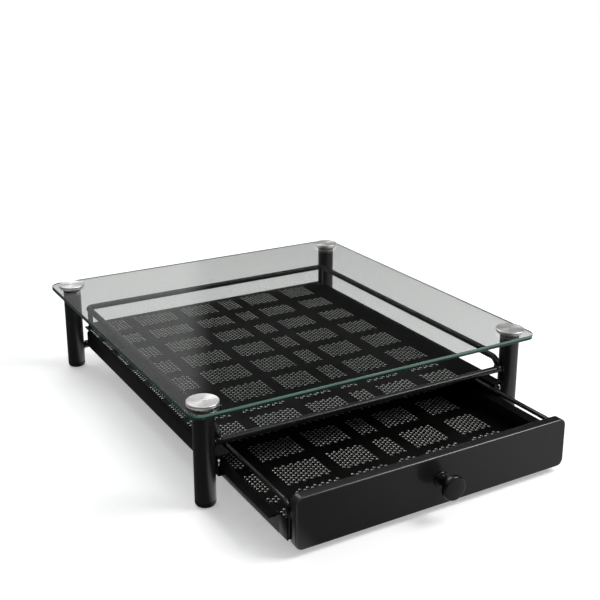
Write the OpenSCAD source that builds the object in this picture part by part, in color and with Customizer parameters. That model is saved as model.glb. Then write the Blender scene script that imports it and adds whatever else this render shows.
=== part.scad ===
// Coffee pod drawer: a glass-topped stand on four tube legs, with a perforated shelf,
// a wire guard rail and a pod tray that slides out at the front on two channels.
// Millimetres. X runs left to right, Y front to back, Z up.
// The origin is on the floor, under the middle of the whole piece with the tray drawn out.

/* [Legs] */
// Distance between the leg axes, side to side
leg_span_x = 300; // [280:1:340]
// Distance between the leg axes, front to back
leg_span_y = 315; // [300:1:360]
// Outside diameter of the leg tube
leg_d = 17; // [15:0.5:18]
// Wall of the leg tube
leg_wall = 1.5; // [1:0.1:2]
// Height of the tube's top above the floor
leg_top_z = 79.5; // [74:0.5:95]
// Height of the foot plug's collar under the tube
foot_h = 5; // [4:0.5:8]
// Rounding of the foot's lower edge
foot_round = 3; // [1:0.5:3.5]
// Length of the plugs inside each end of the tube
plug_len = 14; // [10:1:18]

/* [Glass top] */
// Glass beyond the leg axes at each side
glass_margin_x = 16.5; // [14:0.5:24]
// Glass beyond the leg axes at the front
glass_margin_front = 17.5; // [14:0.5:24]
// Glass beyond the leg axes at the back
glass_margin_rear = 20.5; // [14:0.5:24]
// Thickness of the glass
glass_t = 4; // [3:0.5:6]
// Radius of the glass corners in plan
glass_corner_r = 10; // [6:1:22]
// Diameter of the drilled holes in the glass
glass_hole_d = 9; // [7.5:0.5:11]
// Thickness of the clear washer between leg and glass
washer_t = 1; // [0.5:0.1:2]

/* [Caps] */
// Diameter of the metal cap disc
cap_d = 25.4; // [22:0.2:28]
// Thickness of the cap disc
cap_h = 2.6; // [2.2:0.1:4]
// Bevel round the cap's upper rim
cap_bevel = 0.7; // [0.3:0.1:1]
// Thickness of the clear pad under the cap
pad_t = 0.5; // [0.3:0.1:1]
// Diameter of the threaded stud
stud_d = 6; // [5:0.5:6]
// Depth that the stud enters the cap
stud_seat = 1.4; // [1:0.1:1.6]

/* [Pods] */
// Height of one pod, standing on its rim
pod_h = 28.8; // [26:0.2:34]
// Free height over a pod when the tray is pushed in
pod_clear = 0.4; // [0.3:0.1:2]

/* [Shelf and wires] */
// Thickness of the perforated shelf sheet
deck_t = 1; // [0.8:0.1:1.5]
// How far the shelf's edge stands in from the channel's outer face
deck_inset = 1.5; // [0.5:0.1:3]
// Distance from the front leg axes back to the shelf's front edge
deck_front_setback = 13.5; // [10:0.5:20]
// Distance from the rear leg axes forward to the shelf's rear edge
deck_rear_setback = 3; // [0:0.5:6]
// Diameter of the front and rear bars
bar_d = 6; // [5.8:0.2:7]
// Diameter of the guard rail's wire
wire_d = 5.6; // [5.2:0.1:5.7]
// Diameter of the rear posts
post_d = 5; // [4:0.1:5.1]
// Gap between the top of the front panel and the bar that it passes under
bar_gap = 0.6; // [0.4:0.1:2]
// Rise of the guard rail's axis above the front bar's axis
rail_rise = 10; // [9.6:0.2:16]
// Gap between the guard rail and the legs
rail_gap = 0.5; // [0.3:0.1:3]
// Distance from the rear leg axes forward to the guard rail's rear run
rail_rear_setback = 10; // [8:0.5:16]
// Bend radius of the guard rail's front ends, on its axis
rail_bend_r = 9; // [6:0.5:9]
// Radius of the guard rail's rear corners, on its axis
rail_corner_r = 6; // [4:0.5:12]
// How deep one welded wire sits in what it is welded to
weld_bite = 0.4; // [0.2:0.1:0.6]

/* [Channels] */
// Sheet thickness of the channels
channel_t = 1.2; // [0.8:0.1:1.6]
// Width of the channel's lower flange, on which the tray runs
channel_w = 12; // [11:0.5:14]
// Radius of the channel's outer corners
channel_r = 2.4; // [1.8:0.1:3]
// How far the channels reach in front of the leg axes
channel_overrun = 3.5; // [2:0.5:6]
// Diameter of the channel screws' shank
screw_d = 4; // [3:0.5:4]
// Thickness of the stop tab
stop_t = 2; // [1.5:0.5:3]
// Distance from the channel's front end back to the stop tab
stop_setback = 31; // [24:1:40]

/* [Tray] */
// Height of the tray's underside
tray_z0 = 10; // [8:0.5:12]
// Sheet thickness of the tray
tray_t = 1; // [0.8:0.1:1.2]
// Height of the tray's side walls
wall_h = 16; // [15.5:0.1:17]
// Gap between the tray's wall and the channel's flange
side_gap = 1.5; // [1:0.1:2]
// Gap between the tray's lip and the heads of the channel screws
lip_play = 2; // [0.5:0.1:2.5]
// Distance from the front panel back to the start of the lips
lip_setback = 12; // [8:1:30]
// Distance from the tray's back to the end of the lips
lip_rear_setback = 10; // [9:0.5:20]
// Thickness of the slide strip under the lip
strip_t = 0.9; // [0.6:0.1:2]
// Vertical running clearance in the channels
run_gap = 0.3; // [0.2:0.05:0.4]
// Length of the rear glide blocks
glide_len = 36; // [25:1:45]
// Diameter of the tray's rim wire
rim_d = 4; // [3:0.2:4]
// Gap between the rim wire and the shelf above it
rim_gap = 0.4; // [0.3:0.1:1]
// Radius of the rim wire's front bends, on its axis
rim_bend_r = 8; // [5:1:12]
// Radius of the rim wire's rear corners, on its axis
rim_corner_r = 6; // [6:1:20]
// Distance from the rim wire's rear corners forward to its rear posts
rim_post_setback = 6; // [3:1:30]
// Gap between the front flange's ends and the rim wire
flange_clear = 4; // [1:0.5:12]
// How far the slide strips stand in from the tray's wall
strip_inset = 2; // [1:0.5:3]
// How far the glide blocks stand in from the tray's wall
glide_inset = 1.5; // [1:0.5:3]
// Height of the tray's upturned front flange
flange_h = 11; // [9:0.5:11]

/* [Front panel and knob] */
// How far the front panel's ends stand in from the tray's sides
panel_inset = 2; // [0:0.5:8]
// Height of the front panel
panel_h = 42; // [40:0.5:46]
// Thickness of the front panel
panel_t = 9; // [6:0.5:10]
// Gap between the front panel and the floor
panel_gap = 5; // [3:0.5:7]
// Radius of the front panel's corners
panel_corner_r = 6; // [3:0.5:10]
// How far the tray is pulled out from closed, as modelled
open_by = 90; // [20:1:180]
// Thickness of the rubber bumpers behind the tray
bumper_t = 2.5; // [1:0.1:4]
// Gap left between the bumpers and the rear bar when the tray is shut
shut_gap = 0.4; // [0.3:0.1:2]
// Height of the knob's axis above the panel's lower edge
knob_up = 22.5; // [15:0.5:26]
// Diameter of the knob's head
knob_d = 20; // [16:0.5:24]
// Length of the knob in front of its rosette
knob_len = 16.5; // [14:0.5:22]
// Diameter of the knob's neck
neck_d = 8; // [7:0.5:10]
// Diameter of the rosette at the knob's foot
rosette_d = 13; // [11:0.5:16]
// Thickness of the rosette
rosette_t = 2; // [1:0.5:3]
// Diameter of the knob screw
knob_screw_d = 4; // [3:0.5:5]
// Solid end of the knob beyond its threaded hole
knob_cap_t = 7; // [5:0.5:8]
// Diameter of the panel screws
panel_screw_d = 3; // [2.5:0.5:3.5]
// Distance from the flange's ends to the outer panel screws
panel_screw_edge = 14; // [8:1:30]
// Distance from the tray's sides to the rear bumpers
bumper_edge = 26; // [12:1:60]

/* [Hidden] */
$fn = 64;
EPS = 0.01;

// Stand
leg_x = leg_span_x / 2;
leg_y = leg_span_y / 2;
leg_r = leg_d / 2;
leg_bore_d = leg_d - 2 * leg_wall;
glass_z0 = leg_top_z + washer_t;
glass_z1 = glass_z0 + glass_t;
cap_z0 = glass_z1 + pad_t;
stud_clear_d = stud_d + 0.6;
stud_z0 = leg_top_z - plug_len + 2;
stud_z1 = cap_z0 + stud_seat;
washer_lip = 0.7;

// Leg axes, set so that the origin is under the middle of the whole piece
mid_y = (leg_r + open_by + rosette_t + knob_len - glass_margin_rear) / 2;
front_y = mid_y - leg_y;
rear_y = mid_y + leg_y;
glass_y0 = front_y - glass_margin_front;
glass_y1 = rear_y + glass_margin_rear;

// Heights, from the floor up
floor_z1 = tray_z0 + tray_t;
wall_z1 = tray_z0 + wall_h;
lip_z0 = wall_z1 - tray_t;
strip_z0 = lip_z0 - strip_t;
channel_bed_z = strip_z0 - run_gap;
channel_z0 = channel_bed_z - channel_t;
deck_z0 = floor_z1 + pod_h + pod_clear;
deck_z1 = deck_z0 + deck_t;
channel_roof_z = deck_z0 - channel_t;
panel_z0 = panel_gap;
panel_z1 = panel_z0 + panel_h;
knob_z = panel_z0 + knob_up;

// Wires
bar_r = bar_d / 2;
wire_r = wire_d / 2;
front_bar_z = panel_z1 + bar_gap + bar_r;
rear_bar_z = channel_z0 - bar_r + weld_bite;
rail_z = front_bar_z + rail_rise;
rail_x = leg_x - leg_r - wire_r - rail_gap;
rail_rear_y = rear_y - rail_rear_setback;
arc_drop = rail_corner_r * (1 - cos(45));
post_x = rail_x - arc_drop;
post_y = rail_rear_y - arc_drop;

// Channels
channel_x1 = leg_x - leg_r;
channel_x0 = channel_x1 - channel_w;
channel_y0 = front_y - channel_overrun;
channel_y1 = post_y - post_d / 2 + weld_bite;
tongue_inset = 1.5;
tongue_y1 = rear_y + bar_r;
deck_half = channel_x1 - deck_inset;
deck_y0 = front_y + deck_front_setback;
deck_y1 = rear_y - deck_rear_setback;
stop_y0 = channel_y0 + stop_setback;
stop_y1 = stop_y0 + stop_t;
stop_gap = 1.5;
stop_edge = 1;
screw_z = (channel_bed_z + channel_roof_z) / 2 + 2;
screw_head_h = 1.8;
screw_head_d = 1.75 * screw_d;
screw_len = 6;

// Drawer, where it stands as modelled: shut, the panel is flush with the legs
panel_y0 = front_y - leg_r - open_by;
panel_y1 = panel_y0 + panel_t;
tray_y0 = panel_y1;
tray_y1 = rear_y - bar_r - shut_gap - bumper_t - open_by;
wall_x1 = channel_x0 - side_gap;
wall_x0 = wall_x1 - tray_t;
panel_w = 2 * (wall_x1 - panel_inset);
lip_x1 = channel_x1 - channel_t - screw_head_h - lip_play;
lip_y0 = tray_y0 + lip_setback;
lip_y1 = tray_y1 - lip_rear_setback;
glide_z1 = channel_roof_z - run_gap;
glide_x0 = wall_x1 + glide_inset;
rim_r = rim_d / 2;
rim_x = wall_x0 - rim_r;
rim_z = deck_z0 - rim_gap - rim_r;
rim_y0 = tray_y0 + tray_t + rim_r;
rim_y1 = tray_y1 - tray_t - rim_r;
rim_post_y = rim_y1 - rim_corner_r - rim_post_setback;
flange_half = rim_x - rim_r - flange_clear;
flange_z1 = tray_z0 + flange_h;
screw_out = flange_half - panel_screw_edge;
panel_screw_x = [-screw_out, -screw_out / 3, screw_out / 3, screw_out];
panel_screw_z = tray_z0 + tray_t + (flange_h - tray_t) / 2;
panel_screw_depth = panel_t - 2;
panel_screw_head_h = 1.8;
panel_screw_head_d = 2 * panel_screw_d;
bumper_d = 6;
bumper_x = wall_x0 - bumper_edge;
knob_y0 = panel_y0 - rosette_t;
knob_bore = knob_len - knob_cap_t;
knob_head_h = 6.5;
knob_screw_head_h = 2.4;

SHEET = [0.09, 0.09, 0.09];
WIRE = [0.06, 0.06, 0.06];
PANEL = [0.14, 0.14, 0.14];
PLASTIC = [0.05, 0.05, 0.05];
NYLON = [0.75, 0.75, 0.72];
STEEL = [0.55, 0.55, 0.56];
SILVER = [0.82, 0.82, 0.82];
CLEAR = [0.85, 0.9, 0.88, 0.5];
GLASS = [0.62, 0.8, 0.74, 0.35];

// ---- Shared shapes ----

// Puts its children at one leg axis, or at each of the four
module at_leg(sx, sy) {
    translate([sx * leg_x, mid_y + sy * leg_y, 0]) children();
}
module at_legs() {
    for (sx = [-1, 1], sy = [-1, 1]) at_leg(sx, sy) children();
}

// Draws its children at the right, or mirrored to the left
module on_side(side) {
    mirror([side < 0 ? 1 : 0, 0, 0]) children();
}

// Round bars along each axis
module rod_x(x0, x1, d) {
    translate([x0, 0, 0]) rotate([0, 90, 0]) cylinder(h = x1 - x0, d = d);
}
module rod_y(y0, y1, d) {
    translate([0, y0, 0]) rotate([-90, 0, 0]) cylinder(h = y1 - y0, d = d);
}
module rod_z(z0, z1, d) {
    translate([0, 0, z0]) cylinder(h = z1 - z0, d = d);
}

// A quarter bend of round wire in the XY plane, from +X round to +Y
module elbow(r, d) {
    rotate_extrude(angle = 90) translate([r, 0]) circle(d = d);
}

// A flat ring or disc
module ring(z0, h, d, hole_d) {
    translate([0, 0, z0]) difference() {
        cylinder(h = h, d = d);
        translate([0, 0, -1]) cylinder(h = h + 2, d = hole_d);
    }
}

// A rectangle with rounded corners, centred on the origin
module rounded_rect(w, h, r) {
    square([w - 2 * r, h], center = true);
    square([w, h - 2 * r], center = true);
    for (sx = [-1, 1], sy = [-1, 1]) translate([sx * (w / 2 - r), sy * (h / 2 - r)]) circle(r = r);
}

// A wire hoop, open at the front: two feet rise, bend back and join round the rear
module hoop(half_w, y0, y1, z_foot, z_top, bend_r, corner_r, d) {
    for (side = [-1, 1]) on_side(side) {
        translate([half_w, y0, 0]) rod_z(z_foot, z_top - bend_r, d);
        translate([half_w, y0 + bend_r, z_top - bend_r]) rotate([90, 0, -90]) elbow(bend_r, d);
        translate([half_w, 0, z_top]) rod_y(y0 + bend_r, y1 - corner_r, d);
        translate([half_w - corner_r, y1 - corner_r, z_top]) elbow(corner_r, d);
    }
    translate([0, y1, z_top]) rod_x(-(half_w - corner_r), half_w - corner_r, d);
}

// ---- Glass, caps and legs ----

module glass_top() {
    color(GLASS) difference() {
        translate([0, (glass_y0 + glass_y1) / 2, glass_z0]) linear_extrude(glass_t)
            rounded_rect(leg_span_x + 2 * glass_margin_x, glass_y1 - glass_y0, glass_corner_r);
        at_legs() rod_z(glass_z0 - 1, glass_z1 + 1, glass_hole_d);
    }
}

module leg(sx, sy) {
    color(WIRE) difference() {
        at_leg(sx, sy) ring(foot_h, leg_top_z - foot_h, leg_d, leg_bore_d);
        if (sy < 0) on_side(sx) channel_screw_shank();
    }
}

module foot(sx, sy) {
    r = leg_r;
    color(PLASTIC) at_leg(sx, sy) {
        rod_z(foot_h - EPS, foot_h + plug_len - foot_round, leg_bore_d);
        rotate_extrude() {
            square([r - foot_round, foot_h]);
            translate([0, foot_round]) square([r, foot_h - foot_round]);
            intersection() {
                translate([r - foot_round, foot_round]) circle(r = foot_round);
                square([r, foot_h]);
            }
        }
    }
}

module insert(sx, sy) {
    color(STEEL) at_leg(sx, sy)
        ring(leg_top_z - plug_len, plug_len, leg_bore_d, stud_d);
}

module cap(sx, sy) {
    r = cap_d / 2;
    color(SILVER) at_leg(sx, sy) translate([0, 0, cap_z0]) rotate_extrude()
        polygon([
            [0, stud_seat], [stud_d / 2, stud_seat], [stud_d / 2, 0], [r, 0],
            [r, cap_h - cap_bevel], [r - cap_bevel, cap_h], [0, cap_h]
        ]);
}

module cap_studs() {
    color(STEEL) at_legs() rod_z(stud_z0, stud_z1, stud_d);
}

module leg_washers() {
    color(CLEAR) at_legs() ring(leg_top_z, washer_t, leg_d, stud_clear_d);
}

module cap_pads() {
    color(CLEAR) at_legs() ring(glass_z1, pad_t, cap_d - 2 * washer_lip, stud_clear_d);
}

// ---- Shelf, guard rail and bars ----

module shelf_deck() {
    color(SHEET) difference() {
        translate([-deck_half, deck_y0, deck_z0]) cube([2 * deck_half, deck_y1 - deck_y0, deck_t]);
        for (side = [-1, 1]) on_side(side) post_rod();
    }
}

module front_bar_rod() {
    translate([0, front_y, front_bar_z]) rod_x(-leg_x, leg_x, bar_d);
}

module rear_bar_rod() {
    translate([0, rear_y, rear_bar_z]) rod_x(-leg_x, leg_x, bar_d);
}

module post_rod() {
    translate([post_x, post_y, 0]) rod_z(channel_bed_z, rail_z, post_d);
}

module rail_hoop() {
    hoop(rail_x, front_y, rail_rear_y, front_bar_z, rail_z, rail_bend_r, rail_corner_r, wire_d);
}

module front_bar() {
    color(WIRE) difference() {
        front_bar_rod();
        at_legs() rod_z(0, leg_top_z, leg_d);
    }
}

module rear_bar() {
    color(WIRE) difference() {
        rear_bar_rod();
        at_legs() rod_z(0, leg_top_z, leg_d);
        for (side = [-1, 1]) on_side(side) channel_tongue();
    }
}

module guard_rail() {
    color(WIRE) difference() {
        rail_hoop();
        front_bar_rod();
    }
}

module post(side) {
    color(WIRE) difference() {
        on_side(side) post_rod();
        rail_hoop();
    }
}

// ---- Channels ----

// Section of the right-hand channel, open towards the tray
module channel_section() {
    h = deck_z0 - channel_z0;
    translate([channel_x1 - channel_w / 2, channel_z0 + h / 2]) difference() {
        rounded_rect(channel_w, h, channel_r);
        rounded_rect(channel_w - 2 * channel_t, h - 2 * channel_t, channel_r - channel_t);
        translate([-channel_w / 2 - 1, -h / 2 + channel_t]) square([channel_w / 2 + 1, h - 2 * channel_t]);
    }
    for (z = [channel_z0, channel_roof_z])
        translate([channel_x0, z]) square([channel_w / 2, channel_t]);
}

// The lower flange runs on past the post and lies on the rear bar
module channel_tongue() {
    translate([channel_x0 + tongue_inset, channel_y1 - 1, channel_z0])
        cube([channel_w - 2 * tongue_inset, tongue_y1 - channel_y1 + 1, channel_t]);
}

module channel_screw_shank() {
    translate([0, front_y, screw_z])
        rod_x(channel_x1 - channel_t, channel_x1 - channel_t + screw_len, screw_d);
}

module channel(side) {
    color(SHEET) on_side(side) difference() {
        union() {
            translate([0, channel_y1, 0]) rotate([90, 0, 0])
                linear_extrude(channel_y1 - channel_y0) channel_section();
            channel_tongue();
        }
        channel_screw_shank();
        post_rod();
    }
}

module channel_screws() {
    color(STEEL) for (side = [-1, 1]) on_side(side) {
        channel_screw_shank();
        translate([0, front_y, screw_z])
            rod_x(channel_x1 - channel_t - screw_head_h, channel_x1 - channel_t, screw_head_d);
    }
}

module stop(side) {
    z0 = wall_z1 + stop_gap;
    w = channel_w - channel_t - stop_edge;
    h = channel_roof_z - z0;
    bevel = channel_r - channel_t;
    color(SHEET) on_side(side) translate([channel_x0 + stop_edge, stop_y1, z0]) rotate([90, 0, 0])
        linear_extrude(stop_t)
            polygon([[0, 0], [w, 0], [w, h - bevel], [w - bevel, h], [0, h]]);
}

// ---- Front panel and knob ----

module at_knob(y) {
    translate([0, y, knob_z]) rotate([90, 0, 0]) children();
}

module panel_screw_shanks() {
    for (x = panel_screw_x) translate([x, 0, panel_screw_z])
        rod_y(panel_y1 - panel_screw_depth, tray_y0 + tray_t, panel_screw_d);
}

module front_panel() {
    color(PANEL) difference() {
        translate([0, panel_y1, (panel_z0 + panel_z1) / 2]) rotate([90, 0, 0])
            linear_extrude(panel_t) rounded_rect(panel_w, panel_h, panel_corner_r);
        at_knob(panel_y1 + 1) cylinder(h = panel_t + 2, d = knob_screw_d);
        panel_screw_shanks();
    }
}

module panel_screws() {
    color(STEEL) {
        panel_screw_shanks();
        for (x = panel_screw_x) translate([x, 0, panel_screw_z])
            rod_y(tray_y0 + tray_t, tray_y0 + tray_t + panel_screw_head_h, panel_screw_head_d);
    }
}

module knob() {
    neck_r = neck_d / 2;
    head_r = knob_d / 2;
    rim_r2 = knob_head_h / 2;
    head_y = knob_len - knob_head_h;
    color(PLASTIC) at_knob(knob_y0) rotate_extrude() difference() {
        union() {
            square([neck_r, head_y + 1]);
            translate([0, head_y]) square([head_r - rim_r2, knob_head_h]);
            translate([head_r - rim_r2, head_y + rim_r2]) circle(r = rim_r2);
        }
        square([knob_screw_d / 2, knob_bore]);
        translate([-head_r, -EPS]) square([head_r, knob_len + 1]);
    }
}

module knob_rosette() {
    color(PLASTIC) at_knob(panel_y0) ring(0, rosette_t, rosette_d, knob_screw_d);
}

module knob_screw() {
    color(STEEL) at_knob(panel_y1) {
        cylinder(h = panel_t + rosette_t + knob_bore - 1, d = knob_screw_d);
        translate([0, 0, -knob_screw_head_h]) cylinder(h = knob_screw_head_h, d = 2 * knob_screw_d);
    }
}

// ---- Tray ----

module tray_floor() {
    color(SHEET) difference() {
        union() {
            translate([-wall_x0, tray_y0, tray_z0]) cube([2 * wall_x0, tray_y1 - tray_t - tray_y0, tray_t]);
            translate([-flange_half, tray_y0, tray_z0]) cube([2 * flange_half, tray_t, flange_h]);
        }
        panel_screw_shanks();
    }
}

module tray_wall(side) {
    color(SHEET) on_side(side) {
        translate([wall_x0, tray_y0, tray_z0]) cube([tray_t, tray_y1 - tray_y0, wall_h]);
        translate([wall_x0, lip_y0, lip_z0]) cube([lip_x1 - wall_x0, lip_y1 - lip_y0, tray_t]);
    }
}

module tray_wall_back() {
    color(SHEET) translate([-wall_x0, tray_y1 - tray_t, tray_z0]) cube([2 * wall_x0, tray_t, wall_h]);
}

module rim_hoop() {
    hoop(rim_x, rim_y0, rim_y1, floor_z1, rim_z, rim_bend_r, rim_corner_r, rim_d);
}

module tray_rim() {
    color(WIRE) rim_hoop();
}

module rim_posts() {
    color(WIRE) difference() {
        for (side = [-1, 1]) on_side(side) translate([rim_x, rim_post_y, 0]) rod_z(floor_z1, rim_z, rim_d);
        rim_hoop();
    }
}

module tray_bumpers() {
    color(PLASTIC) for (sx = [-1, 1]) translate([sx * bumper_x, 0, rear_bar_z])
        rod_y(tray_y1, tray_y1 + bumper_t, bumper_d);
}

module slide_strip(side) {
    color(NYLON) on_side(side) translate([wall_x1 + strip_inset, lip_y0, strip_z0])
        cube([lip_x1 - wall_x1 - strip_inset, lip_y1 - lip_y0, strip_t]);
}

module glide_block(side) {
    color(NYLON) on_side(side) translate([glide_x0, lip_y1 - glide_len, wall_z1])
        cube([lip_x1 - glide_x0, glide_len, glide_z1 - wall_z1]);
}

glass_top();
leg(-1, -1);  // leg_front_left
leg(1, -1);  // leg_front_right
leg(-1, 1);  // leg_rear_left
leg(1, 1);  // leg_rear_right
foot(-1, -1);  // foot_front_left
foot(1, -1);  // foot_front_right
foot(-1, 1);  // foot_rear_left
foot(1, 1);  // foot_rear_right
insert(-1, -1);  // insert_front_left
insert(1, -1);  // insert_front_right
insert(-1, 1);  // insert_rear_left
insert(1, 1);  // insert_rear_right
cap(-1, -1);  // cap_front_left
cap(1, -1);  // cap_front_right
cap(-1, 1);  // cap_rear_left
cap(1, 1);  // cap_rear_right
cap_studs();
leg_washers();
cap_pads();
shelf_deck();
guard_rail();
post(-1);  // post_left
post(1);  // post_right
front_bar();
rear_bar();
channel(-1);  // channel_left
channel(1);  // channel_right
channel_screws();
stop(-1);  // stop_left
stop(1);  // stop_right
front_panel();
panel_screws();
knob();
knob_rosette();
knob_screw();
tray_floor();
tray_wall(-1);  // tray_wall_left
tray_wall(1);  // tray_wall_right
tray_wall_back();
tray_rim();
rim_posts();
tray_bumpers();
slide_strip(-1);  // slide_strip_left
slide_strip(1);  // slide_strip_right
glide_block(-1);  // glide_block_left
glide_block(1);  // glide_block_right
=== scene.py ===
"""Slide-out pod drawer with a glass shelf over it: dressed model and studio.

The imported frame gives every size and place.  Each sub-assembly below is a class
that reads the boxes of its CAD nodes, builds finer meshes where the plain solid
is too plain, and dresses them with a finish.
"""

import logging
import math
from dataclasses import dataclass, field
from enum import Enum
from typing import Any, Callable, Iterable, Optional, Sequence, Union

import bmesh
import bpy
from bpy.types import Material, Mesh, Node, NodeSocket, NodeTree, Object
from mathutils import Matrix, Vector


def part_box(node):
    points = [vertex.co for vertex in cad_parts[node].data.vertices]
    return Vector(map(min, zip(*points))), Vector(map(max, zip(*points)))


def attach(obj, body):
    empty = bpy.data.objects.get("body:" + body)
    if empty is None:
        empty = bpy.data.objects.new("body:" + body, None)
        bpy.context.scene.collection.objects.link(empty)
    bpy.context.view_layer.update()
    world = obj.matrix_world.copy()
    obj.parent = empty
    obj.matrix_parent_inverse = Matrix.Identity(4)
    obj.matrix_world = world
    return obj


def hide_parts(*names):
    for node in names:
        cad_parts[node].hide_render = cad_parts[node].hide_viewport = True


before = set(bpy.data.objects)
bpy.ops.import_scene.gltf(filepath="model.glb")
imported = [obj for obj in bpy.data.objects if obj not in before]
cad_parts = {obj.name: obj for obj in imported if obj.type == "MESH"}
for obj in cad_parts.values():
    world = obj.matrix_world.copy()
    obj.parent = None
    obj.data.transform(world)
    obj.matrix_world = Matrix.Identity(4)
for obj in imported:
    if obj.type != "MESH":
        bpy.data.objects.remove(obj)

LOG = logging.getLogger("pod_drawer")
MM = 0.001
SHARP_ANGLE = 32.0

Point = Sequence[float]
Pair = tuple[float, float]
Colour = tuple[float, float, float]
Profile = list[Pair]
Spot = tuple[Point, Point, float]


class Body(Enum):
    """The two rigid bodies that pieces ride on."""

    STAND = "stand"
    DRAWER = "drawer"


class Slot(Enum):
    """Material slots of the record."""

    GLASS = "clear_glass"
    TUBE = "satin_black_tube"
    WIRE = "gloss_black_wire"
    SHEET = "black_sheet"
    PANEL = "charcoal_panel"
    PLASTIC = "black_plastic"
    RUBBER = "black_rubber"
    NYLON = "white_nylon"
    ZINC = "zinc_steel"
    SILVER = "spun_silver"
    WASHER = "clear_plastic"


# ---------------------------------------------------------------- node graphs


class Val:
    """A node socket that takes part in Python arithmetic by adding Math nodes."""

    def __init__(self, graph: "Graph", socket: NodeSocket) -> None:
        """Wraps an output socket of a graph."""
        self.graph = graph
        self.socket = socket

    def __add__(self, other: "Term") -> "Val":
        """self + other."""
        return self.graph.math("ADD", self, other)

    def __radd__(self, other: "Term") -> "Val":
        """other + self."""
        return self.graph.math("ADD", other, self)

    def __sub__(self, other: "Term") -> "Val":
        """self - other."""
        return self.graph.math("SUBTRACT", self, other)

    def __rsub__(self, other: "Term") -> "Val":
        """other - self."""
        return self.graph.math("SUBTRACT", other, self)

    def __mul__(self, other: "Term") -> "Val":
        """self * other."""
        return self.graph.math("MULTIPLY", self, other)

    def __rmul__(self, other: "Term") -> "Val":
        """other * self."""
        return self.graph.math("MULTIPLY", other, self)

    def __truediv__(self, other: "Term") -> "Val":
        """self / other."""
        return self.graph.math("DIVIDE", self, other)

    def __abs__(self) -> "Val":
        """The size of self without its sign."""
        return self.graph.math("ABSOLUTE", self)


Term = Union[Val, float, int]


class Graph:
    """A node tree with one method that makes any node."""

    def __init__(self, tree: NodeTree) -> None:
        """Empties a tree and takes it over."""
        self.tree = tree
        tree.nodes.clear()

    def node(self, kind: str, sockets: Optional[dict[Any, Any]] = None, **settings: Any) -> Node:
        """Makes a node, sets it up and fills or links its sockets.

        Args:
            kind: The node's type name.
            sockets: Values, Vals, sockets, nodes or lists of them by input name.
            **settings: The node's own properties, set before its sockets.

        Returns:
            The new node.
        """
        node = self.tree.nodes.new(kind)
        for key, value in settings.items():
            setattr(node, key, value)
        for key, value in (sockets or {}).items():
            for item in value if isinstance(value, list) else [value]:
                if isinstance(item, Val):
                    item = item.socket
                elif isinstance(item, Node):
                    item = item.outputs[0]
                if isinstance(item, NodeSocket):
                    self.tree.links.new(item, node.inputs[key])
                else:
                    node.inputs[key].default_value = item
        return node

    def math(self, operation: str, *terms: Term, clamp: bool = False) -> Val:
        """One Math node on the given terms, as a Val."""
        sockets = dict(enumerate(terms))
        made = self.node("ShaderNodeMath", sockets, operation=operation, use_clamp=clamp)
        return Val(self, made.outputs[0])

    def ramp(self, value: Term, low: float, high: float) -> Val:
        """A smooth step that rises from 0 at low to 1 at high."""
        sockets = {"Value": value, "From Min": low, "From Max": high}
        made = self.node("ShaderNodeMapRange", sockets, interpolation_type="SMOOTHSTEP")
        return Val(self, made.outputs[0])

    def mix(self, factor: Term, low: Any, high: Any) -> NodeSocket:
        """A colour that goes from low at factor 0 to high at factor 1."""
        made = self.node("ShaderNodeMix", {0: factor, 6: low, 7: high}, data_type="RGBA")
        return made.outputs[2]

    def parts(self, vector: Any) -> tuple[Val, ...]:
        """The X, Y and Z of a vector."""
        made = self.node("ShaderNodeSeparateXYZ", {0: vector})
        return tuple(Val(self, out) for out in made.outputs)

    def rays(self, kind: str) -> Val:
        """1 for rays of a kind, such as Camera or Glossy, and 0 for others."""
        return Val(self, self.node("ShaderNodeLightPath").outputs[f"Is {kind} Ray"])


def rgb(red: float, green: float, blue: float) -> tuple[float, float, float, float]:
    """A linear colour with full alpha."""
    return (red, green, blue, 1.0)


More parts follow.
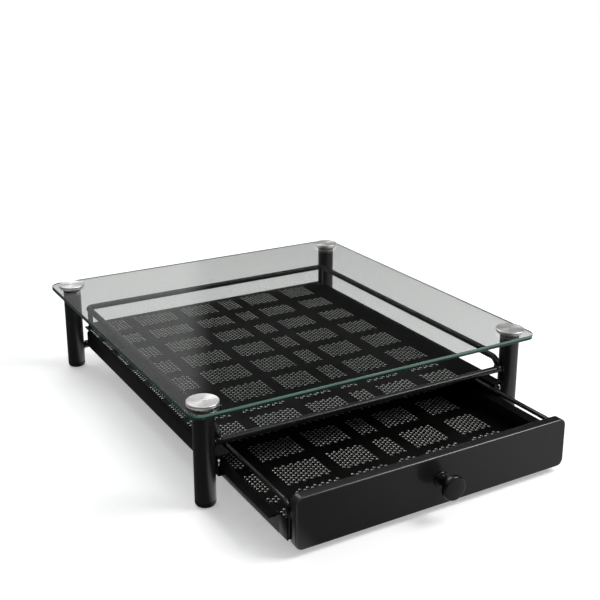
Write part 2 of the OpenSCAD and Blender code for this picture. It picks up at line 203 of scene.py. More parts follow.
class ShaderGraph(Graph):
    """A material's tree with the patterns that the finishes share."""

    def __init__(self, name: str) -> None:
        """Makes an empty material of that name."""
        self.material = bpy.data.materials.new(name)
        self.material.use_nodes = True
        super().__init__(self.material.node_tree)
        self.output = self.node("ShaderNodeOutputMaterial")
        self.place = self.node("ShaderNodeTexCoord").outputs["Object"]

    def mapped(self, scale: Point = (1, 1, 1)) -> NodeSocket:
        """Object coordinates through a Mapping node."""
        return self.node("ShaderNodeMapping", {"Vector": self.place, "Scale": scale}).outputs[0]

    def noise(
        self, scale: float, detail: float = 2.0, rough: float = 0.5, along: Optional[Any] = None
    ) -> Val:
        """Noise from 0 to 1 on object coordinates.

        Args:
            scale: Features per metre.
            detail: Octaves of finer noise.
            rough: How strong the finer octaves are.
            along: Other coordinates to read, such as a stretched mapping.

        Returns:
            The noise value.
        """
        vector = along if along is not None else self.mapped()
        sockets = {"Vector": vector, "Scale": scale, "Detail": detail, "Roughness": rough}
        return Val(self, self.node("ShaderNodeTexNoise", sockets).outputs[0])

    def bump(self, height: Term, distance: float) -> Node:
        """A Bump node for a height from 0 to 1 over a distance in metres."""
        sockets = {"Height": height, "Distance": distance, "Strength": 1.0}
        return self.node("ShaderNodeBump", sockets)

    def split(self) -> tuple[Val, ...]:
        """Object coordinates as three values in metres."""
        return self.parts(self.mapped())

    def normal(self) -> NodeSocket:
        """The surface's own normal."""
        return self.node("ShaderNodeNewGeometry").outputs["Normal"]

    def principled(self, **sockets: Any) -> Node:
        """A Principled shader; underscores in names stand for spaces."""
        named = {key.replace("_", " "): value for key, value in sockets.items()}
        return self.node("ShaderNodeBsdfPrincipled", named)

    def finish(self, shader: Node) -> Material:
        """Links the shader to the output and returns the material."""
        self.tree.links.new(shader.outputs[0], self.output.inputs["Surface"])
        return self.material

    def surface(self, **sockets: Any) -> Material:
        """Ends the tree in a Principled shader alone."""
        return self.finish(self.principled(**sockets))

    def lit_through(self, body: Node, tint: Colour) -> Material:
        """Ends the tree in a clear body that lets lamp light straight through.

        Args:
            body: The shader that the eye sees.
            tint: What the body leaves of the light that passes.

        Returns:
            The material.
        """
        clear = self.node("ShaderNodeBsdfTransparent", {"Color": rgb(*tint)})
        shadow = self.rays("Shadow")
        return self.finish(self.node("ShaderNodeMixShader", {0: shadow, 1: body, 2: clear}))


# ------------------------------------------------------------------- finishes


@dataclass(frozen=True)
class Finish:
    """What every finish has: its material's name and the slot that it is for."""

    name: str
    slot: Slot

    def material(self) -> Material:
        """Builds the material."""
        raise NotImplementedError


@dataclass(frozen=True)
class BakedCoat(Finish):
    """Baked enamel or powder coat on steel, with fine orange peel and faint dulling, and where
    asked a painted highlight on rounded edges.
    """

    colour: Colour
    roughness: float
    specular: float
    grain: float
    grain_depth: float
    coat: float = 0.0
    dulling: float = 0.08
    edge_gloss_and_highlight: float = 0.0
    smudge_scale: float = 14.0
    speck_scale: float = 2600.0
    edge_highlight_gain: float = 5.0

    def edges(self, g: ShaderGraph) -> Val:
        """How far a point lies on a rounded edge of an upright plate, from 0 on its faces; it sets
        the painted edge highlight and the extra coat there.
        """
        front = abs(g.parts(g.normal())[1])
        return g.ramp(front, 0.35, 0.55) * (1 - g.ramp(front, 0.9, 0.985)) * self.edge_gloss_and_highlight

    def tinted(self, gain: float, lift: float = 0.0) -> tuple[float, float, float, float]:
        """The coat's colour, brightened and lifted."""
        return rgb(*(c * gain + lift for c in self.colour))

    def material(self) -> Material:
        """Builds the coat."""
        g = ShaderGraph(self.name)
        peel = g.noise(self.grain, 3.0, 0.6)
        patch = g.ramp(g.noise(self.smudge_scale, 4.0, 0.55), 0.35, 0.7)
        speck = g.ramp(g.noise(self.speck_scale, 1.0), 0.66, 0.78)
        smudged = g.mix(patch * 0.6, self.tinted(1), self.tinted(1.35, 0.0012))
        tone = g.mix(speck * 0.35, smudged, self.tinted(1.8, 0.004))
        shine: Term = self.coat
        if self.edge_gloss_and_highlight:
            edge = self.edges(g)
            # Painted highlight: the base colour is brightened on the rounded edges, standing in
            # for the bright line of light that the edge catches; the coat is raised there too.
            tone = g.mix(edge, tone, self.tinted(self.edge_highlight_gain))
            shine = edge * (1 - self.coat) + self.coat
        return g.surface(
            Base_Color=tone,
            Roughness=self.roughness + (patch - 0.5) * self.dulling + peel * 0.05,
            Specular_IOR_Level=self.specular,
            Coat_Weight=shine,
            Coat_Roughness=0.18,
            Normal=g.bump(peel, self.grain_depth),
        )


@dataclass(frozen=True)
class SpunMetal(Finish):
    """Bright disc turned on a lathe: fine concentric lines that catch light in a bow-tie, with a
    bow-tie highlight also painted into the base colour.
    """

    centre_x: float
    centre_y: float
    half_span: float
    line_pitch: float
    slope: float

    def material(self) -> Material:
        """Builds the turned lines from each disc's own centre, and a painted bow-tie reflection in
        the base colour.
        """
        g = ShaderGraph(self.name)
        x, y, _ = g.split()
        along = y - self.centre_y
        dx = (abs(x) - self.centre_x) * g.math("SIGN", x)
        dy = (abs(along) - self.half_span) * g.math("SIGN", along)
        radius = g.math("SQRT", dx * dx + dy * dy + 1e-9)
        spread = g.node("ShaderNodeCombineXYZ", {0: radius * (1.0 / self.line_pitch)})
        rings = g.noise(1.0, 3.0, 0.7, spread.outputs[0])
        wave = g.math("SINE", radius * (2 * math.pi / self.line_pitch) + rings * 9.0)
        lean = wave * self.slope
        normal = g.normal()
        flat = g.ramp(g.parts(normal)[2], 0.9, 0.97)
        turned = {0: dx / radius * lean * flat, 1: dy / radius * lean * flat, 2: 0.0}
        tilt = g.node("ShaderNodeCombineXYZ", turned)
        leaned = g.node("ShaderNodeVectorMath", {0: normal, 1: tilt}, operation="ADD")
        unit = g.node("ShaderNodeVectorMath", {0: leaned}, operation="NORMALIZE")
        # Painted reflection: the base colour is lighter along one fixed direction across each
        # disc, a bow-tie highlight painted in.
        across = (dx * 0.866 - dy * 0.5) / radius
        painted_bowtie = g.mix(across * across, rgb(0.66, 0.655, 0.65), rgb(1.0, 0.99, 0.975))
        tone = g.mix(rings * 0.3, painted_bowtie, rgb(0.9, 0.89, 0.87))
        return g.surface(
            Base_Color=tone, Metallic=1.0, Roughness=0.3 + rings * 0.16, Normal=unit
        )


@dataclass(frozen=True)
class FloatGlass(Finish):
    """Clear tempered glass sheet that lets lamp light straight through."""

    tint: Colour

    def material(self) -> Material:
        """Builds the glass with a faint haze of finger marks."""
        g = ShaderGraph(self.name)
        haze = g.ramp(g.noise(9.0, 5.0, 0.6), 0.5, 0.8)
        body = g.principled(
            Base_Color=rgb(*self.tint), Roughness=haze * 0.015, IOR=1.5, Transmission_Weight=1.0
        )
        return g.lit_through(body, (0.93, 0.96, 0.95))


@dataclass(frozen=True)
class GlassEdge(Finish):
    """The polished edge of the sheet in the glass's own green, with painted light and shade:
    lighter in its upper half, darker on the edges that face sideways.
    """

    z_low: float
    z_high: float

    def material(self) -> Material:
        """Builds the green edge with faint polishing streaks, and its painted light and shade."""
        g = ShaderGraph(self.name)
        height = (g.split()[2] - self.z_low) / (self.z_high - self.z_low)
        streak = g.noise(26.0, 3.0, 0.6, g.mapped(scale=(1, 1, 9)))
        # Painted light and shade: the upper half of the edge is lighter and the lower half darker,
        # and the edges facing along X are painted darker still.
        painted_lit_band = g.ramp(height + (streak - 0.5) * 0.25, 0.42, 0.62)
        side = g.ramp(abs(g.parts(g.normal())[0]), 0.5, 0.95)
        dark = g.mix(streak, rgb(0.005, 0.018, 0.013), rgb(0.016, 0.042, 0.033))
        light = g.mix(streak, rgb(0.06, 0.125, 0.1), rgb(0.14, 0.235, 0.195))
        return g.surface(
            Base_Color=g.mix(painted_lit_band * (1 - side * 0.85), dark, light),
            Roughness=0.07 + streak * 0.08,
            Specular_IOR_Level=0.25,
            Coat_Weight=0.1,
            Coat_Roughness=0.05,
            Normal=g.bump(streak, 0.00004),
        )


@dataclass(frozen=True)
class Moulding(Finish):
    """Moulded plastic, nylon or rubber with a faint tool texture."""

    colour: Colour
    roughness: float
    specular: float
    texture: float
    depth: float

    def material(self) -> Material:
        """Builds the moulding."""
        g = ShaderGraph(self.name)
        skin = g.noise(self.texture, 3.0, 0.6)
        high = rgb(*(c * 1.25 + 0.001 for c in self.colour))
        return g.surface(
            Base_Color=g.mix(g.noise(40.0, 2.0, 0.5), rgb(*self.colour), high),
            Roughness=self.roughness + (skin - 0.5) * 0.1,
            Specular_IOR_Level=self.specular,
            Normal=g.bump(skin, self.depth),
        )


@dataclass(frozen=True)
class PlatedSteel(Finish):
    """Bright zinc plating, a little mottled."""

    def material(self) -> Material:
        """Builds the plating."""
        g = ShaderGraph(self.name)
        spangle = g.noise(700.0, 3.0, 0.6)
        return g.surface(
            Base_Color=g.mix(spangle, rgb(0.42, 0.43, 0.44), rgb(0.66, 0.66, 0.65)),
            Metallic=1.0,
            Roughness=0.24 + spangle * 0.14,
            Normal=g.bump(spangle, 0.00002),
        )


@dataclass(frozen=True)
class ClearPlastic(Finish):
    """Clear soft washers and pads."""

    def material(self) -> Material:
        """Builds the slightly milky plastic."""
        g = ShaderGraph(self.name)
        cloud = g.noise(220.0, 3.0, 0.6)
        body = g.principled(
            Base_Color=g.mix(cloud, rgb(0.82, 0.86, 0.85), rgb(0.95, 0.97, 0.96)),
            Roughness=0.12 + cloud * 0.16,
            IOR=1.45,
            Transmission_Weight=0.8,
            Normal=g.bump(cloud, 0.00002),
        )
        return g.lit_through(body, (0.8, 0.84, 0.83))


@dataclass(frozen=True)
class PaintedCrestHighlight(Finish):
    """The pressed collars: black outside, with a painted highlight of bright grey metal inside the
    crest, standing in for the bright dashes of light on the hole rims.
    """

    row_zero: float
    pitch_x: float
    pitch_y: float
    crest_radius: float
    offset: float = 100.5

    def within(self, g: ShaderGraph, x: Val, y: Val, shift: float) -> Val:
        """Whether a point lies inside the crest of the nearest hole of one set of rows.

        Args:
            g: The graph the nodes go in.
            x: Distance across the sheet in metres.
            y: Distance along the sheet in metres, from the pattern's own middle.
            shift: 0 for the even rows and 0.5 for the odd rows.

        Returns:
            1 inside the crest and 0 outside.
        """
        squares: list[Val] = []
        for place, pitch in ((x, self.pitch_x), (y, 2 * self.pitch_y)):
            off = (g.math("FRACT", place / pitch + self.offset - shift) - 0.5) * pitch
            squares.append(off * off)
        return g.math("LESS_THAN", squares[0] + squares[1], self.crest_radius**2)

    def material(self) -> Material:
        """Builds black enamel outside the crest and a painted highlight of bright steel inside it.
        """
        g = ShaderGraph(self.name)
        x, y, _ = g.split()
        even, odd = (self.within(g, x, y - self.row_zero, shift) for shift in (0.0, 0.5))
        crest_noise = g.noise(700.0, 2.0, 0.6)
        mask = g.math("MULTIPLY", g.math("MAXIMUM", even, odd), 0.6 + crest_noise * 0.6, clamp=True)
        # Painted highlight: bright grey, partly metallic colour inside each crest stands in for
        # the light caught on the hole rims.
        return g.surface(
            Base_Color=g.mix(mask, rgb(0.004, 0.004, 0.004), rgb(0.4, 0.4, 0.385)),
            Metallic=mask * 0.7,
            Roughness=0.36 + mask * 0.1,
            Specular_IOR_Level=0.08,
            Normal=g.bump(crest_noise, 0.00001),
        )


class Finishes:
    """The finishes of this piece of furniture, each built once when first asked for."""

    def __init__(self, legs: "LegPlan", glass: "Span") -> None:
        """Sets out the finishes.

        Args:
            legs: Where the legs stand, for the turned discs' centres.
            glass: The glass sheet's box, for the painted light and shade of its edge's two tones.
        """
        tube, wire = (0.0036, 0.0034, 0.0031), (0.004, 0.004, 0.004)
        sheet, panel = (0.0028, 0.0028, 0.0026), (0.0068, 0.0068, 0.007)
        plans: tuple[Finish, ...] = (
            FloatGlass("float_glass", Slot.GLASS, (0.79, 0.81, 0.795)),
            BakedCoat("satin_black_enamel", Slot.TUBE, tube, 0.34, 0.62, 900.0, 0.00003),
            BakedCoat("gloss_black_enamel", Slot.WIRE, wire, 0.22, 0.35, 1400.0, 0.00002, 0.1),
            BakedCoat("black_sheet_enamel", Slot.SHEET, sheet, 0.3, 0.07, 1200.0, 0.00002),
            # The panel's rounded edges get a painted highlight in the base colour, as well as more
            # coat.
            BakedCoat(
                "charcoal_powder_coat", Slot.PANEL, panel, 0.45, 0.1, 1500.0, 0.00003,
                coat=0.5, edge_gloss_and_highlight=0.9,
            ),
            Moulding("black_moulding", Slot.PLASTIC, wire, 0.22, 0.3, 600.0, 0.00002),
            Moulding("black_rubber", Slot.RUBBER, (0.012,) * 3, 0.75, 0.25, 1500.0, 0.00005),
            Moulding("black_nylon", Slot.NYLON, (0.011,) * 3, 0.5, 0.25, 700.0, 0.00003),
            PlatedSteel("zinc_plate", Slot.ZINC),
            SpunMetal(
                "spun_disc", Slot.SILVER, legs.half_x, legs.mid_y, legs.half_y,
                line_pitch=0.00032, slope=0.42,
            ),
            ClearPlastic("clear_washer", Slot.WASHER),
        )
        self._plans = {plan.slot: plan for plan in plans}
        self._edge = GlassEdge("glass_edge", Slot.GLASS, glass.lo.z, glass.hi.z)
        self._made: dict[Finish, Material] = {}

    def built(self, plan: Finish) -> Material:
        """The material of a finish, made when first asked for."""
        if plan not in self._made:
            self._made[plan] = plan.material()
        return self._made[plan]

    def of(self, slot: Slot) -> Material:
        """The material of a slot."""
        return self.built(self._plans[slot])

    def glass_edge(self) -> Material:
        """The material of the glass sheet's edge."""
        return self.built(self._edge)

    def painted_crest_highlight(self, name: str, zero: float, pitch: Pair, crest: float) -> Material:
        """The material of one sheet's pressed collars, with their painted crest highlight.

        Args:
            name: The sheet's name.
            zero: Where its rows count from, in metres.
            pitch: Hole spacing across and row spacing along, in metres.
            crest: Radius of a collar's crest in metres.

        Returns:
            The material, built once for each sheet.
        """
        return self.built(PaintedCrestHighlight(f"{name}_rubbed_rim", Slot.SHEET, zero, *pitch, crest))


@dataclass(frozen=True)
class Span:
    """The box of a CAD node at rest, in metres."""

    lo: Vector
    hi: Vector

    @classmethod
    def of(cls, node: str) -> "Span":
        """The box of the named node."""
        return cls(*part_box(node))

    @property
    def mid(self) -> Vector:
        """The box's middle."""
        return (self.lo + self.hi) / 2

    @property
    def size(self) -> Vector:
        """The box's three sides."""
        return self.hi - self.lo


def linked(name: str, data: Any) -> Object:
    """A new object that holds the data, linked to the scene at the origin."""
    made = bpy.data.objects.new(name, data)
    bpy.context.scene.collection.objects.link(made)
    return made


def mesh_from(name: str, bm: bmesh.types.BMesh) -> Mesh:
    """A new mesh from a bmesh, which is freed."""
    mesh = bpy.data.meshes.new(name)
    bm.to_mesh(mesh)
    bm.free()
    return mesh


def finish_mesh(
    mesh: Mesh, sharp: float = SHARP_ANGLE, weld: float = 1e-7, seams: bool = False
) -> None:
    """Merges doubles, points faces outwards and shades by angle.

    Args:
        mesh: The mesh to clean.
        sharp: Edges bent by more than this many degrees stay sharp.
        weld: Vertices closer than this in metres are merged.
        seams: Also removes the double walls between blocks that stand side by side.
    """
    bm = bmesh.new()
    bm.from_mesh(mesh)
    bmesh.ops.remove_doubles(bm, verts=bm.verts, dist=weld)
    if seams:
        seen: dict[frozenset[int], list[bmesh.types.BMFace]] = {}
        for face in bm.faces:
            seen.setdefault(frozenset(v.index for v in face.verts), []).append(face)
        twins = [face for group in seen.values() if len(group) > 1 for face in group]
        bmesh.ops.delete(bm, geom=twins, context="FACES_ONLY")
    bmesh.ops.recalc_face_normals(bm, faces=bm.faces)
    bm.to_mesh(mesh)
    bm.free()
    mesh.shade_smooth()
    mesh.set_sharp_from_angle(angle=math.radians(sharp))


def new_piece(
    name: str,
    verts: Iterable[Point],
    faces: Iterable[Sequence[int]],
    sharp: float = SHARP_ANGLE,
) -> Object:
    """An object from plain vertices and faces, cleaned and linked.

    Args:
        name: The piece's name.
        verts: Points in metres.
        faces: Corner numbers of each face.
        sharp: Edges bent by more than this many degrees stay sharp.

    Returns:
        The new object, at the origin.
    """
    mesh = bpy.data.meshes.new(name)
    mesh.from_pydata([tuple(v) for v in verts], [], [tuple(f) for f in faces])
    finish_mesh(mesh, sharp)
    return linked(name, mesh)


def arc(centre: Pair, radius: float, start: float, end: float, steps: int) -> Profile:
    """Points along an arc, with angles in degrees."""
    angles = [math.radians(start + (end - start) * i / steps) for i in range(steps + 1)]
    return [(centre[0] + radius * math.cos(a), centre[1] + radius * math.sin(a)) for a in angles]


def lathe(
    name: str,
    profile: Profile,
    centre: Point = (0, 0, 0),
    axis: Point = (0, 0, 1),
    segments: int = 96,
    closed: bool = False,
    sharp: float = SHARP_ANGLE,
) -> Object:
    """Turns a profile of (radius, height) about an axis.

    Args:
        name: The piece's name.
        profile: Points in metres; a radius of 0 makes a pole.
        centre: Where height 0 lies.
        axis: The direction in which height grows.
        segments: Steps round the axis.
        closed: Joins the last profile point to the first, for a ring.
        sharp: Edges bent by more than this many degrees stay sharp.

    Returns:
        The turned piece.
    """
    turn = Vector((0, 0, 1)).rotation_difference(Vector(axis)).to_matrix()
    verts: list[Vector] = []
    rows: list[list[int]] = []
    for radius, height in profile:
        count = 1 if radius < 1e-9 else segments
        rows.append(list(range(len(verts), len(verts) + count)))
        for i in range(count):
            a = 2 * math.pi * i / segments
            local = Vector((radius * math.cos(a), radius * math.sin(a), height))
            verts.append(turn @ local + Vector(centre))
    faces: list[list[int]] = []
    for low, high in zip(rows, rows[1:] + (rows[:1] if closed else [])):
        for i in range(segments):
            j = (i + 1) % segments
            ends = [low[i % len(low)], low[j % len(low)], high[j % len(high)], high[i % len(high)]]
            ring = list(dict.fromkeys(ends))
            if len(ring) > 2:
                faces.append(ring)
    return new_piece(name, verts, faces, sharp)


def rounded_loop(
    width: float, height: float, radius: float, centre: Pair = (0, 0), steps: int = 14
) -> Profile:
    """The outline of a rectangle with rounded corners."""
    x, y = width / 2 - radius, height / 2 - radius
    loop: Profile = []
    for cx, cy, start in ((x, y, 0), (-x, y, 90), (-x, -y, 180), (x, -y, 270)):
        loop += arc((cx + centre[0], cy + centre[1]), radius, start, start + 90, steps)
    return loop


def circle_loop(centre: Pair, radius: float, steps: int = 40) -> Profile:
    """The outline of a circle."""
    return arc(centre, radius, 0, 360 * (steps - 1) / steps, steps - 1)


def cross_loop(arm: float, half: float) -> Profile:
    """The outline of a cross-head recess, with arms of the given reach and half width."""
    quarter = [(arm, -half), (arm, half), (half, half)]
    turns = ((1, 0), (0, 1), (-1, 0), (0, -1))
    return [(x * c - y * s, x * s + y * c) for c, s in turns for x, y in quarter]


def plate(
    name: str, loops: Sequence[Profile], thickness: float, edge: float, edge_steps: int = 3
) -> Object:
    """A flat plate with rounded edges, lying on the XY plane from z 0 up.

    Args:
        name: The piece's name.
        loops: The outline first, then the outlines of its holes.
        thickness: The plate's full thickness in metres.
        edge: Radius of the rounding along its edges.
        edge_steps: How finely that rounding is cut.

    Returns:
        The plate, with its level faces shaded flat.
    """
    curve = bpy.data.curves.new(name, "CURVE")
    curve.dimensions = "2D"
    curve.fill_mode = "BOTH"
    curve.extrude = thickness / 2 - edge
    curve.bevel_depth = edge
    curve.bevel_resolution = edge_steps
    curve.offset = -edge
    for loop in loops:
        spline = curve.splines.new("POLY")
        spline.points.add(len(loop) - 1)
        for point, (x, y) in zip(spline.points, loop):
            point.co = (x, y, 0, 1)
        spline.use_cyclic_u = True
    outline = linked(name, curve)
    mesh = plain_mesh(outline, name)
    bpy.data.objects.remove(outline)
    bpy.data.curves.remove(curve)
    mesh.transform(Matrix.Translation((0, 0, thickness / 2)))
    finish_mesh(mesh, 40.0, 1e-6)
    for face in mesh.polygons:
        if abs(face.normal.z) > 0.9995:
            face.use_smooth = False
    return linked(name, mesh)


def soft_box(name: str, lo: Point, hi: Point, edge: float) -> Object:
    """A block with rounded edges.

    Args:
        name: The piece's name.
        lo: The low corner in metres.
        hi: The high corner.
        edge: Radius of the rounding along its edges.

    Returns:
        The block.
    """
    low, high = Vector(lo), Vector(hi)
    bm = bmesh.new()
    bmesh.ops.create_cube(bm, size=1.0)
    fit = Matrix.Translation((low + high) / 2) @ Matrix.Diagonal((*(high - low), 1.0))
    bmesh.ops.transform(bm, matrix=fit, verts=bm.verts)
    bmesh.ops.bevel(bm, geom=bm.edges, offset=edge, segments=3, profile=0.5, affect="EDGES")
    mesh = mesh_from(name, bm)
    finish_mesh(mesh, 40.0)
    return linked(name, mesh)


def folded_strip(
    name: str, path: Profile, thickness: float, bend: float, start: float, end: float
) -> Object:
    """Sheet metal folded along Y: a path of (x, z) corners with rounded folds.

    Args:
        name: The piece's name.
        path: The middle line's corners in the XZ plane, in metres.
        thickness: The sheet's thickness.
        bend: Radius of each fold on the middle line.
        start: Where the strip begins along Y.
        end: Where it ends along Y.

    Returns:
        The folded strip.
    """
    line: list[Vector] = [Vector(path[0])]
    for before, corner, after in zip(path, path[1:], path[2:]):
        c = Vector(corner)
        a = (Vector(before) - c).normalized()
        b = (Vector(after) - c).normalized()
        half = a.angle(b) / 2
        reach = bend / math.tan(half)
        hub = c + (a + b).normalized() * (bend / math.sin(half))
        first, last = c + a * reach - hub, c + b * reach - hub
        line += [hub + first.lerp(last, i / 6).normalized() * bend for i in range(7)]
    line.append(Vector(path[-1]))
    sides: list[list[Vector]] = [[], []]
    for i, p in enumerate(line):
        along = (line[min(i + 1, len(line) - 1)] - line[max(i - 1, 0)]).normalized()
        across = Vector((-along.y, along.x)) * (thickness / 2)
        sides[0].append(p + across)
        sides[1].append(p - across)
    outline = sides[0] + sides[1][::-1]
    n = len(outline)
    verts = [(p.x, y, p.y) for y in (start, end) for p in outline]
    faces = [(i, (i + 1) % n, (i + 1) % n + n, i + n) for i in range(n)]
    for base in (0, n):
        for i in range(n // 2 - 1):
            faces.append((base + i, base + i + 1, base + n - 2 - i, base + n - 1 - i))
    return new_piece(name, verts, faces)


def plain_mesh(source: Object, name: str) -> Mesh:
    """The evaluated mesh of an object, with every modifier worked in."""
    graph = bpy.context.evaluated_depsgraph_get()
    mesh = bpy.data.meshes.new_from_object(source.evaluated_get(graph), depsgraph=graph)
    mesh.name = name
    return mesh


def joined(name: str, parts: Sequence[Object]) -> Object:
    """Joins parts that stand at the origin into one piece, and removes them."""
    bm = bmesh.new()
    for part in parts:
        bm.from_mesh(part.data)
    mesh = mesh_from(name, bm)
    for part in parts:
        bpy.data.objects.remove(part)
    mesh.set_sharp_from_angle(angle=math.radians(SHARP_ANGLE))
    return linked(name, mesh)


# ------------------------------------------------------------ geometry nodes


class Repeater(Graph):
    """A geometry node tree with named inputs, run on points and turned into plain faces."""

    def __init__(self, name: str, **inputs: str) -> None:
        """Makes the tree with its inputs.

        Args:
            name: The tree's name.
            **inputs: The last part of each socket type by input name.
        """
        super().__init__(bpy.data.node_groups.new(name, "GeometryNodeTree"))
        face = self.tree.interface
        face.new_socket("Points", in_out="INPUT", socket_type="NodeSocketGeometry")
        self.keys = {
            label: face.new_socket(
                label, in_out="INPUT", socket_type="NodeSocket" + kind
            ).identifier
            for label, kind in {**inputs, "Finish": "Material"}.items()
        }
        face.new_socket("Result", in_out="OUTPUT", socket_type="NodeSocketGeometry")
        self.given = self.node("NodeGroupInput").outputs

    def geo(self, kind: str, sockets: Optional[dict[Any, Any]] = None, **settings: Any) -> Node:
        """A geometry node by the last part of its type name."""
        return self.node("GeometryNode" + kind, sockets, **settings)

    def close(self, geometry: Node) -> None:
        """Ends the tree in Realize Instances and Set Material."""
        real = self.geo("RealizeInstances", {"Geometry": geometry})
        dressed = self.geo("SetMaterial", {"Geometry": real, "Material": self.given["Finish"]})
        self.node("NodeGroupOutput", {0: dressed})

    def run(
        self,
        name: str,
        points: Sequence[Point],
        values: dict[str, Any],
        aims: Sequence[Point] = (),
        scales: Sequence[float] = (),
    ) -> Object:
        """Runs the tree on a cloud of points.

        Args:
            name: The new piece's name.
            points: Where the repeated shape goes.
            values: Input values by name.
            aims: The axis at each point, if the tree reads it.
            scales: The scale at each point, if the tree reads it.

        Returns:
            The result as a plain mesh at the origin.
        """
        cloud = bpy.data.meshes.new(name)
        cloud.from_pydata([tuple(p) for p in points], [], [])
        if aims:
            flat = [c for aim in aims for c in aim]
            cloud.attributes.new("aim", "FLOAT_VECTOR", "POINT").data.foreach_set("vector", flat)
            grown = cloud.attributes.new("grow", "FLOAT", "POINT")
            grown.data.foreach_set("value", list(scales))
        holder = linked(name + "_points", cloud)
        modifier = holder.modifiers.new("repeat", "NODES")
        modifier.node_group = self.tree
        for label, value in values.items():
            modifier[self.keys[label]] = value
        mesh = plain_mesh(holder, name)
        holder.modifiers.remove(modifier)
        bpy.data.objects.remove(holder)
        return linked(name, mesh)


class PunchedSheet(Repeater):
    """A sheet with a round hole at every point of a cloud."""

    def __init__(self) -> None:
        """Builds the tree: outline and holes are filled, then given a thickness."""
        super().__init__(
            "punched_sheet",
            Width="Float",
            Length="Float",
            Middle="Vector",
            Thickness="Float",
            Radius="Float",
            Sides="Int",
        )
        given = self.given
        circle = {"Resolution": given["Sides"], "Radius": given["Radius"]}
        ring = self.geo("CurvePrimitiveCircle", circle, mode="RADIUS")
        holes = self.geo("InstanceOnPoints", {"Points": given["Points"], "Instance": ring})
        cut = self.geo("RealizeInstances", {"Geometry": holes})
        sides = {"Width": given["Width"], "Height": given["Length"]}
        outline = self.geo("CurvePrimitiveQuadrilateral", sides, mode="RECTANGLE")
        both = self.geo("JoinGeometry", {0: [cut, outline]})
        face = self.geo("FillCurve", {"Curve": both}, mode="TRIANGLES")
        rise = {"Mesh": face, "Offset Scale": given["Thickness"], "Individual": False}
        wall = self.geo("ExtrudeMesh", rise, mode="FACES")
        under = self.geo("FlipFaces", {"Mesh": face})
        shell = self.geo("JoinGeometry", {0: [wall, under]})
        whole = self.geo("MergeByDistance", {"Geometry": shell, "Distance": 1e-6})
        self.close(self.geo("Transform", {"Geometry": whole, "Translation": given["Middle"]}))


class PartsOnPoints(Repeater):
    """The same small part at every point, turned along each point's own axis."""

    def __init__(self) -> None:
        """Builds the tree, with a seeded spin about each part's axis."""
        super().__init__("parts_on_points", Part="Object", Spin="Float", Seed="Int")
        given = self.given
        part = self.geo("ObjectInfo", {"Object": given["Part"]})
        aim = self.geo("InputNamedAttribute", {"Name": "aim"}, data_type="FLOAT_VECTOR")
        grow = self.geo("InputNamedAttribute", {"Name": "grow"}, data_type="FLOAT")
        turned = self.node("FunctionNodeAlignRotationToVector", {"Vector": aim}, axis="Z")
        spread = self.geo(
            "InstanceOnPoints",
            {
                "Points": given["Points"],
                "Instance": part.outputs["Geometry"],
                "Rotation": turned,
                "Scale": grow,
            },
        )
        limits = {"Max": given["Spin"], "Seed": given["Seed"]}
        chance = self.node("FunctionNodeRandomValue", limits, data_type="FLOAT")
        spin = self.node("ShaderNodeCombineXYZ", {2: chance.outputs[1]})
        self.close(self.geo("RotateInstances", {"Instances": spread, "Rotation": spin}))


# -------------------------------------------------------------- sub-assemblies


@dataclass
class Workshop:
    """What every sub-assembly needs: the finishes and the repeaters."""

    finishes: Finishes
    punched: PunchedSheet = field(default_factory=PunchedSheet)
    repeated: PartsOnPoints = field(default_factory=PartsOnPoints)
    seed: int = 7
    part_sharp: float = 35.0

    def place(
        self, piece: Object, body: Body, slot: Slot, replaces: Sequence[str] = ()
    ) -> None:
        """Dresses a piece, ties it to its body and hides what it stands for.

        Args:
            piece: The finished piece, at the origin.
            body: The body it moves with.
            slot: The slot whose finish it takes.
            replaces: CAD nodes that it stands for.
        """
        held = piece.data.materials
        if not held:
            held.append(self.finishes.of(slot))
        for i, material in enumerate(held):
            if material is None:
                held[i] = self.finishes.of(slot)
        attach(piece, body.value)
        if replaces:
            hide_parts(*replaces)
        LOG.info("%s: %d faces on %s", piece.name, len(piece.data.polygons), body.value)

    def dress(self, slot: Slot, *nodes: str) -> None:
        """Gives CAD nodes that stay their finish."""
        for name in nodes:
            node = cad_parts[name]
            if not node.data.materials:
                node.data.materials.append(self.finishes.of(slot))
            for held in node.material_slots:
                held.material = self.finishes.of(slot)
            LOG.info("%s: dressed as %s", name, slot.value)

    def scatter(
        self,
        name: str,
        part: Object,
        spots: Sequence[Spot],
        body: Body,
        slot: Slot,
        spin: float = 0.0,
        replaces: Sequence[str] = (),
        finish: Optional[Material] = None,
    ) -> None:
        """Repeats a small part at spots of (place, axis, scale) and removes the pattern part.

        Args:
            name: The new piece's name.
            part: The part to repeat; it points along +Z from its origin.
            spots: Place, axis and scale of each copy.
            body: The body the copies move with.
            slot: The slot whose finish they take.
            spin: Largest seeded turn about the axis, in radians.
            replaces: CAD nodes that the copies stand for.
            finish: A special finish in place of the slot's own.
        """
        places, aims, scales = zip(*spots)
        finish = finish or self.finishes.of(slot)
        values = {"Part": part, "Spin": spin, "Seed": self.seed, "Finish": finish}
        made = self.repeated.run(name, places, values, aims, scales)
        bpy.data.objects.remove(part)
        made.data.shade_smooth()
        made.data.set_sharp_from_angle(angle=math.radians(self.part_sharp))
        self.place(made, body, slot, replaces)


LEG_NAMES = ("front_left", "front_right", "rear_left", "rear_right")
SIDES = ((-1, "left"), (1, "right"))


